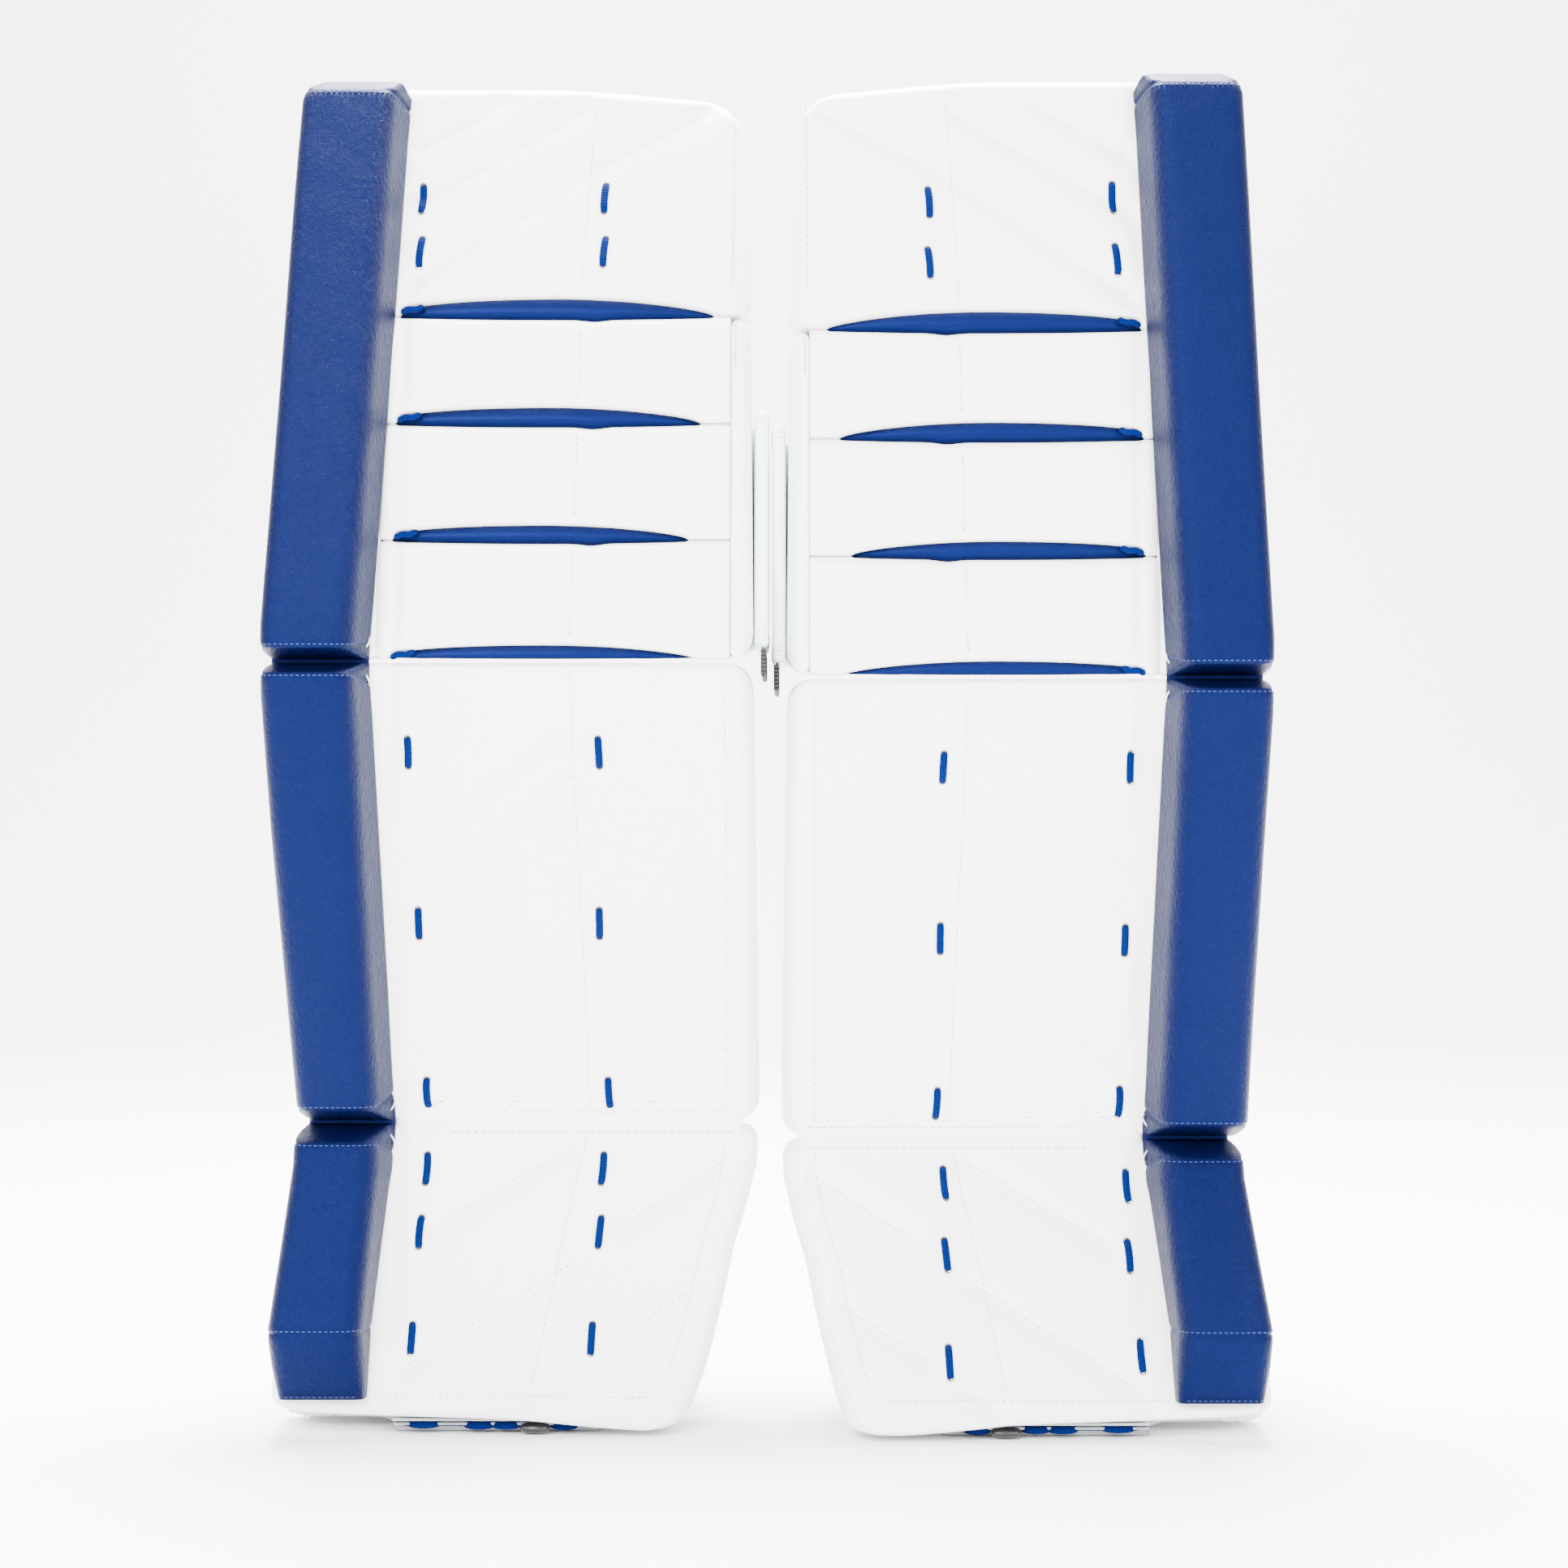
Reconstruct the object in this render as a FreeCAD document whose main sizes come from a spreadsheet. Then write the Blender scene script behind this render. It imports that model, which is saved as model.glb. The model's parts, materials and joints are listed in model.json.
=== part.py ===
import FreeCAD, Part
import os
import re

import Sketcher

# A pair of goalie leg pads, standing side by side on the ice side of their boots.
# Millimetres. X runs across the pair, with the wearer's left pad at +X. Y runs from the
# front faces (-Y) to the straps (+Y). Z is up, and the pads stand on z = 0.
# Each pad is a boot, a shin and a thigh section, hinged at the boot break and at the knee.
# Both pads are drawn on the +X side, and the right one is mirrored to -X when it is done.

SIDES = ("left", "right")

# ---------------------------------------------------------------- driving dimensions
# The two pads are the same length but stand flexed a little differently, so each has its
# own rise (height gained along the face) and lean (distance the face goes back or forward).
STANCE = {
    "left_toe_front": -107,
    "left_boot_rise": 144,
    "left_boot_lean": 71,
    "left_shin_rise": 254,
    "left_shin_lean": 38,
    "left_thigh_rise": 330,
    "left_thigh_lean": 40,
    "right_toe_front": -94,
    "right_boot_rise": 154,
    "right_boot_lean": 45,
    "right_shin_rise": 252,
    "right_shin_lean": 44,
    "right_thigh_rise": 322,
    "right_thigh_lean": 80,
}

FACE = {
    "sole_rise": 12,
    "core_depth": 66,
    "toe_slope_run": 36,
    "toe_step": 5,
    "section_gap": 0.6,
    "boot_notch": 8,
    "knee_notch": 6,
    "medial_sole": 65,
    "medial_toe": 30,
    "medial_toe_height": 56,
    "medial_ankle": 6,
    "medial_knee": 9,
    "medial_top": 12,
    "lateral_sole": 254,
    "lateral_toe": 269,
    "lateral_toe_height": 14,
    "lateral_ankle": 257,
    "lateral_knee": 274,
    "lateral_top": 256,
    "top_slope": 12,
    "skin": 2,
    "board": 2,
    "fit_gap": 0.3,
    "overrun": 1,
    "profile_width": 300,
    "outline_front": -300,
    "outline_length": 700,
}

ROLLS = {
    "roll_proud": 25,
    "roll_slant": 9,
    "roll_bevel": 6,
    "roll_cap": 2,
    "roll_toe_proud": 8.3,
    "roll_top_proud": 12.5,
    "roll_end_gap": 1,
    "knee_cap_run": 4,
    "boot_cap_run": 7,
    "top_cap_run": 8,
    "toe_cap_run": 36,
    "roll_end_height": 22,
    "roll_toe_inner": 217,
    "roll_toe_outer": 270,
    "roll_sole_inner": 224,
    "roll_sole_outer": 262,
    "roll_ankle_inner": 207,
    "roll_ankle_outer": 260,
    "roll_shin_outer": 267,
    "roll_knee_inner": 218,
    "roll_knee_outer": 277,
    "roll_thigh_outer": 268,
    "roll_top_inner": 207,
    "roll_top_outer": 260,
    "knee_roll_inner": 14,
    "knee_roll_outer": 206,
    "knee_roll_depth": 26,
    "knee_roll_bulge": 4,
    "knee_roll_gap": 3,
    "knee_roll_first": 66,
    "knee_roll_second": 65,
    "knee_roll_third": 61,
    "knee_base_depth": 4,
    "recess_overrun": 20,
}

LACES = {
    "lace_width": 4,
    "lace_proud": 2,
    "lace_length": 18,
    "lace_inner": 92,
    "lace_outer": 194,
    "boot_lace_first": 22,
    "boot_lace_second": 58,
    "boot_lace_third": 114,
    "shin_lace_first": 49,
    "shin_lace_second": 143,
    "shin_lace_third": 235,
    "thigh_lace_first": 229,
    "thigh_lace_second": 260,
    "bridge_inner": 93,
    "bridge_outer": 204,
    "bridge_front": 7,
    "bridge_thick": 3,
    "bridge_margin": 4,
    "toe_lace_thick": 1.4,
    "toe_lace_front": 9.5,
    "toe_lace_rear": 15.5,
    "toggle_place": 119,
    "toggle_length": 16,
    "toggle_wall": 2,
}

BACK = {
    "channel_inner": 75,
    "channel_outer": 190,
    "riser_wall": 30,
    "riser_depth": 52,
    "riser_height": 120,
    "cushion_inner": 66,
    "cushion_outer": 200,
    "cushion_thick": 14,
    "shin_cushion_low": 215,
    "shin_cushion_high": 20,
    "knee_cushion_low": 14,
    "knee_cushion_high": 144,
    "wing_thick": 10,
    "wing_outer_place": 212,
    "wing_inner_place": 48,
    "calf_wing_low": 200,
    "calf_wing_high": 44,
    "calf_wing_length": 95,
    "wing_swing_gap": 0.9,
    "knee_wing_low": 16,
    "knee_wing_high": 142,
    "knee_wing_length": 85,
    "strap_thick": 3,
    "calf_strap_low": 144,
    "calf_strap_high": 100,
    "knee_block_medial": 1,
    "knee_block_lateral": 45,
    "knee_block_low": 8,
    "knee_block_high": 141,
    "knee_block_front": 14,
    "knee_block_length": 70,
    "knee_strap_inner": 6,
    "knee_strap_low": 28,
    "knee_strap_high": 62,
    "strap_end_medial": 2,
    "strap_end_low": 7,
    "strap_end_front": 12,
    "boot_strap_low": 68,
    "boot_strap_high": 96,
    "boot_strap_inner": 44,
    "buckle_thick": 9,
    "buckle_length": 34,
    "buckle_overlap": 5,
    "buckle_wall": 2.5,
    "buckle_slack": 0.6,
    "plug_reach": 6,
}

SIZES = {**STANCE, **FACE, **ROLLS, **LACES, **BACK}

# Heights and face positions that follow from the driving dimensions.
DERIVED = {
    "boot_top": "sole_rise + boot_rise",
    "knee_height": "boot_top + shin_rise",
    "pad_top": "knee_height + thigh_rise",
    "boot_front": "toe_front + boot_lean",
    "knee_front": "boot_front - shin_lean",
    "half_gap": "section_gap / 2",
    "first_roll_top": "knee_height + half_gap + knee_roll_first",
    "second_roll_top": "first_roll_top + knee_roll_second",
    "third_roll_top": "second_roll_top + knee_roll_third",
    "toe_slope_rear": "toe_front + toe_slope_run",
}

DOC = FreeCAD.newDocument("goalie_leg_pads")
SHEET = DOC.addObject("Spreadsheet::Sheet", "Sizes")
for row, (alias, value) in enumerate(SIZES.items(), start=1):
    SHEET.set(f"A{row}", alias.replace("_", " "))
    SHEET.set(f"B{row}", str(value))
    SHEET.setAlias(f"B{row}", alias)
DOC.recompute()

# Sketch axes in the world: (local x, local y, normal) for each drawing plane.
UP = FreeCAD.Vector(0, 0, 1)
BACKWARD = FreeCAD.Vector(0, 1, 0)
ACROSS = FreeCAD.Vector(1, 0, 0)
PLANES = {
    "side": FreeCAD.Rotation(BACKWARD, UP, ACROSS, "ZXY"),
    "front": FreeCAD.Rotation(ACROSS, UP, BACKWARD.negative(), "ZXY"),
    "level": FreeCAD.Rotation(ACROSS, BACKWARD, UP, "ZXY"),
}
OFFSETS = {"side": "x", "front": "y", "level": "z"}
DIRECTIONS = {"side": ACROSS, "front": BACKWARD, "level": UP}


class Pad:
    """Builds the sub-parts of one pad as document objects bound to the spreadsheet."""

    def __init__(self, side):
        self.side = side
        self.nodes = []

    # ------------------------------------------------------------ expressions
    def formula(self, text):
        """Turns a text of plain size names into an expression on the spreadsheet."""

        def resolve(match):
            word = match.group(0)
            if word in DERIVED:
                return f"({self.formula(DERIVED[word])})"
            own = f"{self.side}_{word}"
            return f"Sizes.{own if own in SIZES else word}"

        return re.sub(r"[a-z]\w*", resolve, text)

    def bind(self, item, prop, text):
        item.setExpression(prop, self.formula(text))

    def add(self, kind, name):
        return DOC.addObject(kind, f"{self.side}_{name}")

    # ------------------------------------------------------------ shapes
    def outline(self, name, plane, corners, offset):
        """A closed sketch whose every corner is bound to the spreadsheet."""
        sketch = self.add("Sketcher::SketchObject", name)
        sketch.Placement = FreeCAD.Placement(FreeCAD.Vector(), PLANES[plane])
        self.bind(sketch, f"Placement.Base.{OFFSETS[plane]}", offset)
        count = len(corners)
        # The first drawing only needs the right order round the outline.
        rough = [self.value(x) for x, _ in corners]
        high = [self.value(y) for _, y in corners]
        for i in range(count):
            start = FreeCAD.Vector(rough[i], high[i])
            end = FreeCAD.Vector(rough[(i + 1) % count], high[(i + 1) % count])
            sketch.addGeometry(Part.LineSegment(start, end))
        for i in range(count):
            sketch.addConstraint(Sketcher.Constraint("Coincident", i, 2, (i + 1) % count, 1))
        for i, (x, y) in enumerate(corners):
            across = sketch.addConstraint(Sketcher.Constraint("DistanceX", i, 1, rough[i]))
            self.bind(sketch, f"Constraints[{across}]", x)
            upward = sketch.addConstraint(Sketcher.Constraint("DistanceY", i, 1, high[i]))
            self.bind(sketch, f"Constraints[{upward}]", y)
        return sketch

    def value(self, text):
        """The number an expression text gives with the sheet's present values."""
        return float(SHEET.evalExpression(self.formula(text)))

    def prism(self, name, plane, corners, start, length):
        """An outline pushed along its plane's world direction, from start by length."""
        solid = self.add("Part::Extrusion", name)
        solid.Base = self.outline(f"{name}_outline", plane, corners, start)
        solid.DirMode = "Custom"
        solid.Dir = DIRECTIONS[plane]
        solid.Solid = True
        self.bind(solid, "LengthFwd", length)
        return solid

    def across(self, name, corners, inner, outer):
        """A side profile that runs across the pad from inner to outer."""
        return self.prism(name, "side", corners, inner, f"({outer}) - ({inner})")

    def loft(self, name, sections):
        """A ruled solid through level outlines, each given as (height, corners)."""
        solid = self.add("Part::Loft", name)
        solid.Sections = [
            self.outline(f"{name}_section_{i}", "level", corners, height)
            for i, (height, corners) in enumerate(sections)
        ]
        solid.Solid = True
        solid.Ruled = True
        return solid

    def common(self, name, base, tool):
        result = self.add("Part::Common", name)
        result.Base = base
        result.Tool = tool
        return result

    def cut(self, name, base, tool):
        result = self.add("Part::Cut", name)
        result.Base = base
        result.Tool = tool
        return result

    def fuse(self, name, base, tool):
        result = self.add("Part::Fuse", name)
        result.Base = base
        result.Tool = tool
        return result

    def group(self, name, items):
        result = self.add("Part::Compound", name)
        result.Links = items
        return result

    def keep(self, node, item):
        """Files a finished sub-part under its node name, mirrored for the right pad."""
        if self.side == "right":
            mirrored = self.add("Part::Mirroring", f"{node}_mirrored")
            mirrored.Source = item
            mirrored.Normal = ACROSS
            item = mirrored
        item.Label = f"{self.side}_{node}"
        self.nodes.append(item)
        return item

    # ------------------------------------------------------------ padded sections
    def section(self, name, profile, front, inset, front_inset=None):
        """One padded section: a side profile crossed with a front outline, both inset."""
        side = self.across(f"{name}_side", profile(inset, front_inset or inset), "0", "profile_width")
        face = self.prism(f"{name}_front", "front", front(inset), "outline_front", "outline_length")
        return self.common(name, side, face)

    def shell(self, node, profile, front, trim=None):
        """A sewn cover: the outside of a section with the space for its core cut out."""
        outside = self.section(f"{node}_outside", profile, front, "0")
        inside = self.section(f"{node}_inside", profile, front, "skin")
        if trim:
            outside = self.cut(f"{node}_outside_stepped", outside, trim("0"))
            inside = self.cut(f"{node}_inside_stepped", inside, trim("skin"))
        return self.cut(f"{node}_skin", outside, inside)


def boot_face(height):
    return f"(toe_front + boot_lean * (({height}) - sole_rise) / boot_rise)"


def shin_face(height):
    return f"(boot_front - shin_lean * (({height}) - boot_top) / shin_rise)"


def thigh_face(height):
    return f"(knee_front + thigh_lean * (({height}) - knee_height) / thigh_rise)"


def break_line(notch, inset, depth):
    """How far a section's end lies from its break, at a depth behind the face."""
    return f"(half_gap + {notch} * ({depth}) / core_depth + {inset})"


def boot_profile(inset, front_inset):
    rear = f"core_depth - {inset}"
    toe = f"sole_rise + {inset} / 2"
    top = f"boot_top - {break_line('boot_notch', inset, rear)}"
    front_top = f"boot_top - {break_line('boot_notch', inset, front_inset)}"
    return [
        (f"{boot_face(toe)} + {front_inset}", toe),
        (f"toe_slope_rear + {inset}", f"toe_step + {inset}"),
        (f"toe_slope_rear + {inset}", f"{inset}"),
        (f"{boot_face(inset)} + {rear}", f"{inset}"),
        (f"{boot_face(top)} + {rear}", top),
        (f"{boot_face(front_top)} + {front_inset}", front_top),
    ]


def boot_outline(inset):
    return [
        (f"medial_sole + {inset}", "-overrun"),
        (f"medial_toe + {inset}", "medial_toe_height"),
        (f"medial_ankle + {inset}", "boot_top"),
        (f"lateral_ankle - {inset}", "boot_top"),
        (f"lateral_toe - {inset}", "medial_toe_height"),
        (f"lateral_toe - {inset}", "lateral_toe_height"),
        (f"lateral_sole - {inset}", "-overrun"),
    ]


def shin_profile(inset, front_inset):
    rear = f"core_depth - {inset}"
    low = f"boot_top + {break_line('boot_notch', inset, rear)}"
    high = f"knee_height - {break_line('knee_notch', inset, rear)}"
    front_low = f"boot_top + {break_line('boot_notch', inset, front_inset)}"
    front_high = f"knee_height - {break_line('knee_notch', inset, front_inset)}"
    return [
        (f"{shin_face(front_low)} + {front_inset}", front_low),
        (f"{shin_face(low)} + {rear}", low),
        (f"{shin_face(high)} + {rear}", high),
        (f"{shin_face(front_high)} + {front_inset}", front_high),
    ]


def shin_outline(inset):
    return [
        (f"medial_ankle + {inset}", "boot_top"),
        (f"medial_knee + {inset}", "knee_height"),
        (f"lateral_knee - {inset}", "knee_height"),
        (f"lateral_ankle - {inset}", "boot_top"),
    ]


def thigh_profile(inset, front_inset):
    rear = f"core_depth - {inset}"
    low = f"knee_height + {break_line('knee_notch', inset, rear)}"
    high = f"pad_top - {inset}"
    front_low = f"knee_height + {break_line('knee_notch', inset, front_inset)}"
    return [
        (f"{thigh_face(front_low)} + {front_inset}", front_low),
        (f"{thigh_face(low)} + {rear}", low),
        (f"{thigh_face(high)} + {rear}", high),
        (f"{thigh_face(high)} + {front_inset}", high),
    ]


def thigh_outline(inset):
    return [
        (f"medial_knee + {inset}", "knee_height"),
        (f"medial_top + {inset}", f"pad_top - top_slope - {inset}"),
        (f"lateral_top - {inset}", f"pad_top - {inset}"),
        (f"lateral_knee - {inset}", "knee_height"),
    ]


def roll_outline(face, height, inner, outer, proud):
    """Outline of an outer roll at a height: a trapezoid with both front edges taken off."""
    base = f"{face(height)} - fit_gap"
    front = f"{face(height)} - {proud}"
    shoulder = f"{front} + roll_bevel * {proud} / roll_proud"
    return height, [
        (inner, base),
        (f"{inner} + roll_slant - roll_bevel / 2", shoulder),
        (f"{inner} + roll_slant + roll_bevel / 2", front),
        (f"{outer} - roll_bevel", front),
        (outer, shoulder),
        (outer, base),
    ]


def lace_stitches(pad, node, face, rows):
    """Short vertical lace stitches that lie on the face in two columns."""
    stitches = []
    for i, row in enumerate(rows):
        low = f"({row}) - lace_length / 2"
        high = f"({row}) + lace_length / 2"
        rear = [(f"{face(low)} - fit_gap", low), (f"{face(high)} - fit_gap", high)]
        front = [(f"{y} - lace_proud", z) for y, z in reversed(rear)]
        for column in ("lace_inner", "lace_outer"):
            inner = f"{column} - lace_width / 2"
            outer = f"{column} + lace_width / 2"
            stitches.append(pad.across(f"{node}_{column}_{i}", rear + front, inner, outer))
    return stitches


def slanted(face, low, high, near, far):
    """A side profile between two heights that keeps its distances behind the face."""
    return [
        (f"{face(low)} + core_depth + {near}", low),
        (f"{face(high)} + core_depth + {near}", high),
        (f"{face(high)} + core_depth + {far}", high),
        (f"{face(low)} + core_depth + {far}", low),
    ]


# ---------------------------------------------------------------- boot section
def make_boot(pad):
    pad.keep("boot_cover", pad.shell("boot_cover", boot_profile, boot_outline))
    foam = pad.section("boot_core_foam", boot_profile, boot_outline, "(skin + fit_gap)")
    pad.keep("boot_core", foam)

    face = boot_face
    toe = "(roll_end_height + toe_cap_run)"
    bend = "(boot_top - roll_end_gap - boot_cap_run)"
    end = "(boot_top - roll_end_gap)"
    roll = pad.loft("outer_roll_lower_loft", [
        roll_outline(face, "roll_end_height", "roll_sole_inner", "roll_sole_outer", "roll_toe_proud"),
        roll_outline(face, toe, "roll_toe_inner", "roll_toe_outer", "roll_proud"),
        roll_outline(face, bend, "roll_ankle_inner", "roll_ankle_outer", "roll_proud"),
        roll_outline(face, end, "roll_ankle_inner", "roll_ankle_outer", "roll_cap"),
    ])
    pad.keep("outer_roll_lower", roll)


def make_toe(pad):
    # The toe slope climbs forward from the step; the bridge plate lies under it.
    slope = "((sole_rise - toe_step) / toe_slope_run)"
    front = "(toe_front + bridge_front)"
    rear = "(toe_slope_rear - fit_gap)"
    rise_front = f"(sole_rise - {slope} * bridge_front - 2 * fit_gap)"
    rise_rear = "(toe_step - fit_gap)"
    plate = pad.across("toe_bridge_plate", [
        (front, rise_front),
        (rear, rise_rear),
        (rear, f"{rise_rear} - bridge_thick"),
        (front, f"{rise_front} - bridge_thick"),
    ], "bridge_inner", "bridge_outer")
    pad.keep("toe_bridge", plate)

    def under(run):
        """Height of the plate's underside, run behind the toe."""
        return f"({rise_front} - bridge_thick - {slope} * ({run} - bridge_front))"

    def strip(near, far, top, bottom):
        return [
            (f"toe_front + {near}", f"{under(near)} - {top}"),
            (f"toe_front + {far}", f"{under(far)} - {top}"),
            (f"toe_front + {far}", f"{under(far)} - {bottom}"),
            (f"toe_front + {near}", f"{under(near)} - {bottom}"),
        ]

    low = "(2 * fit_gap + toe_lace_thick)"
    lace = pad.across(
        "toe_lace_strip",
        strip("toe_lace_front", "toe_lace_rear", "(2 * fit_gap)", low),
        "bridge_inner + bridge_margin",
        "bridge_outer - bridge_margin",
    )
    rows = [f"boot_top - boot_lace_{place}" for place in ("first", "second", "third")]
    stitches = lace_stitches(pad, "boot_laces", boot_face, rows)
    pad.keep("boot_laces", pad.group("boot_laces_group", stitches + [lace]))

    # The toggle is a small shell that straddles the lace and slides along it.
    near = "(toe_lace_front - fit_gap - toggle_wall)"
    far = "(toe_lace_rear + fit_gap + toggle_wall)"
    body = pad.across(
        "toggle_body",
        strip(near, far, "fit_gap", f"({low} + fit_gap + toggle_wall)"),
        "toggle_place",
        "toggle_place + toggle_length",
    )
    slot = pad.across(
        "toggle_slot",
        strip("(toe_lace_front - fit_gap)", "(toe_lace_rear + fit_gap)", "0", f"({low} + fit_gap)"),
        "toggle_place - overrun",
        "toggle_place + toggle_length + overrun",
    )
    pad.keep("toe_toggle", pad.cut("toe_toggle_shell", body, slot))


def make_boot_back(pad):
    face = boot_face
    riser = slanted(face, "0", "riser_height", "fit_gap", "riser_depth")
    medial = pad.across("riser_medial", riser, "channel_inner - riser_wall", "channel_inner")
    lateral = pad.across("riser_lateral", riser, "channel_outer", "channel_outer + riser_wall")
    pad.keep("boot_channel", pad.group("boot_channel_risers", [medial, lateral]))

    # Buckle: the socket sits on the outside of the lateral riser and opens backwards.
    low = "boot_strap_low"
    high = "boot_strap_high"
    inner = "(channel_outer + riser_wall + fit_gap)"
    outer = f"({inner} + buckle_thick)"
    mouth = "(riser_depth - buckle_overlap)"
    body = slanted(face, low, high, f"({mouth} - buckle_length)", mouth)
    body = pad.across("socket_body", body, inner, outer)
    bottom = f"({low} + buckle_wall)"
    top = f"({high} - buckle_wall)"
    slot = slanted(face, bottom, top, f"({mouth} - plug_reach - buckle_slack)", f"({mouth} + overrun)")
    slot = pad.across("socket_slot", slot, f"{inner} + buckle_wall", f"{outer} - buckle_wall")
    pad.keep("buckle_socket", pad.cut("socket_shell", body, slot))

    # Plug: a tongue in the socket and a wider head behind it, on the end of the strap.
    back = "(riser_depth + fit_gap)"
    side = "(buckle_wall + buckle_slack)"
    tongue = slanted(
        face, f"({bottom} + buckle_slack)", f"({top} - buckle_slack)", f"({mouth} - plug_reach)", back
    )
    tongue = pad.across("plug_tongue", tongue, f"{inner} + {side}", f"{outer} - {side}")
    head = slanted(face, low, high, f"({mouth} + fit_gap)", back)
    head = pad.across("plug_head", head, f"{inner} + fit_gap", outer)
    pad.keep("buckle_plug", pad.fuse("plug_solid", tongue, head))

    strap = slanted(face, low, high, f"({back} + fit_gap)", f"({back} + fit_gap + strap_thick)")
    pad.keep("boot_strap", pad.across("boot_strap_band", strap, "boot_strap_inner", outer))


# ---------------------------------------------------------------- shin section
def make_shin(pad):
    pad.keep("shin_cover", pad.shell("shin_cover", shin_profile, shin_outline))
    board_inset = "(skin + 2 * fit_gap + board)"
    foam = pad.section("shin_core_foam", shin_profile, shin_outline, "(skin + fit_gap)", board_inset)
    pad.keep("shin_core", foam)

    near = "(skin + fit_gap)"
    low = f"boot_top + {break_line('boot_notch', near, f'({near} + board)')}"
    high = f"knee_height - {break_line('knee_notch', near, f'({near} + board)')}"
    sheet = pad.across("stiffener_side", [
        (f"{shin_face(low)} + {near}", low),
        (f"{shin_face(low)} + {near} + board", low),
        (f"{shin_face(high)} + {near} + board", high),
        (f"{shin_face(high)} + {near}", high),
    ], "0", "profile_width")
    outline = shin_outline("(skin + fit_gap)")
    shape = pad.prism("stiffener_front", "front", outline, "outline_front", "outline_length")
    pad.keep("shin_stiffener", pad.common("stiffener_sheet", sheet, shape))

    face = shin_face
    low_end = "(boot_top + roll_end_gap)"
    low_bend = "(boot_top + roll_end_gap + boot_cap_run)"
    middle = "((boot_top + knee_height) / 2)"
    high_bend = "(knee_height - roll_end_gap - knee_cap_run)"
    high_end = "(knee_height - roll_end_gap)"
    between = "((roll_ankle_inner + roll_knee_inner) / 2)"
    roll = pad.loft("outer_roll_middle_loft", [
        roll_outline(face, low_end, "roll_ankle_inner", "roll_ankle_outer", "roll_cap"),
        roll_outline(face, low_bend, "roll_ankle_inner", "roll_ankle_outer", "roll_proud"),
        roll_outline(face, middle, between, "roll_shin_outer", "roll_proud"),
        roll_outline(face, high_bend, "roll_knee_inner", "roll_knee_outer", "roll_proud"),
        roll_outline(face, high_end, "roll_knee_inner", "roll_knee_outer", "roll_cap"),
    ])
    pad.keep("outer_roll_middle", roll)

    rows = [f"knee_height - shin_lace_{place}" for place in ("first", "second", "third")]
    stitches = lace_stitches(pad, "shin_laces", face, rows)
    pad.keep("shin_laces", pad.group("shin_laces_group", stitches))

    low = "(knee_height - shin_cushion_low)"
    high = "(knee_height - shin_cushion_high)"
    cushion = slanted(face, low, high, "fit_gap", "cushion_thick")
    pad.keep("shin_cushion", pad.across("shin_cushion_pad", cushion, "cushion_inner", "cushion_outer"))


def make_calf_wrap(pad):
    face = shin_face
    low = "(knee_height - calf_wing_low)"
    high = "(knee_height - calf_wing_high)"
    outer = slanted(face, low, high, "fit_gap", "calf_wing_length")
    inner = slanted(face, low, high, "fit_gap", "(calf_wing_length - wing_swing_gap)")
    outside = "wing_outer_place + wing_thick"
    pad.keep("calf_wing_outer", pad.across("calf_wing_outer_pad", outer, "wing_outer_place", outside))
    inside = "wing_inner_place + wing_thick"
    pad.keep("calf_wing_inner", pad.across("calf_wing_inner_pad", inner, "wing_inner_place", inside))

    near = "(calf_wing_length + fit_gap)"
    low = "(knee_height - calf_strap_low)"
    high = "(knee_height - calf_strap_high)"
    strap = slanted(face, low, high, near, f"({near} + strap_thick)")
    pad.keep("calf_strap", pad.across("calf_strap_band", strap, "wing_inner_place", outside))


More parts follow.
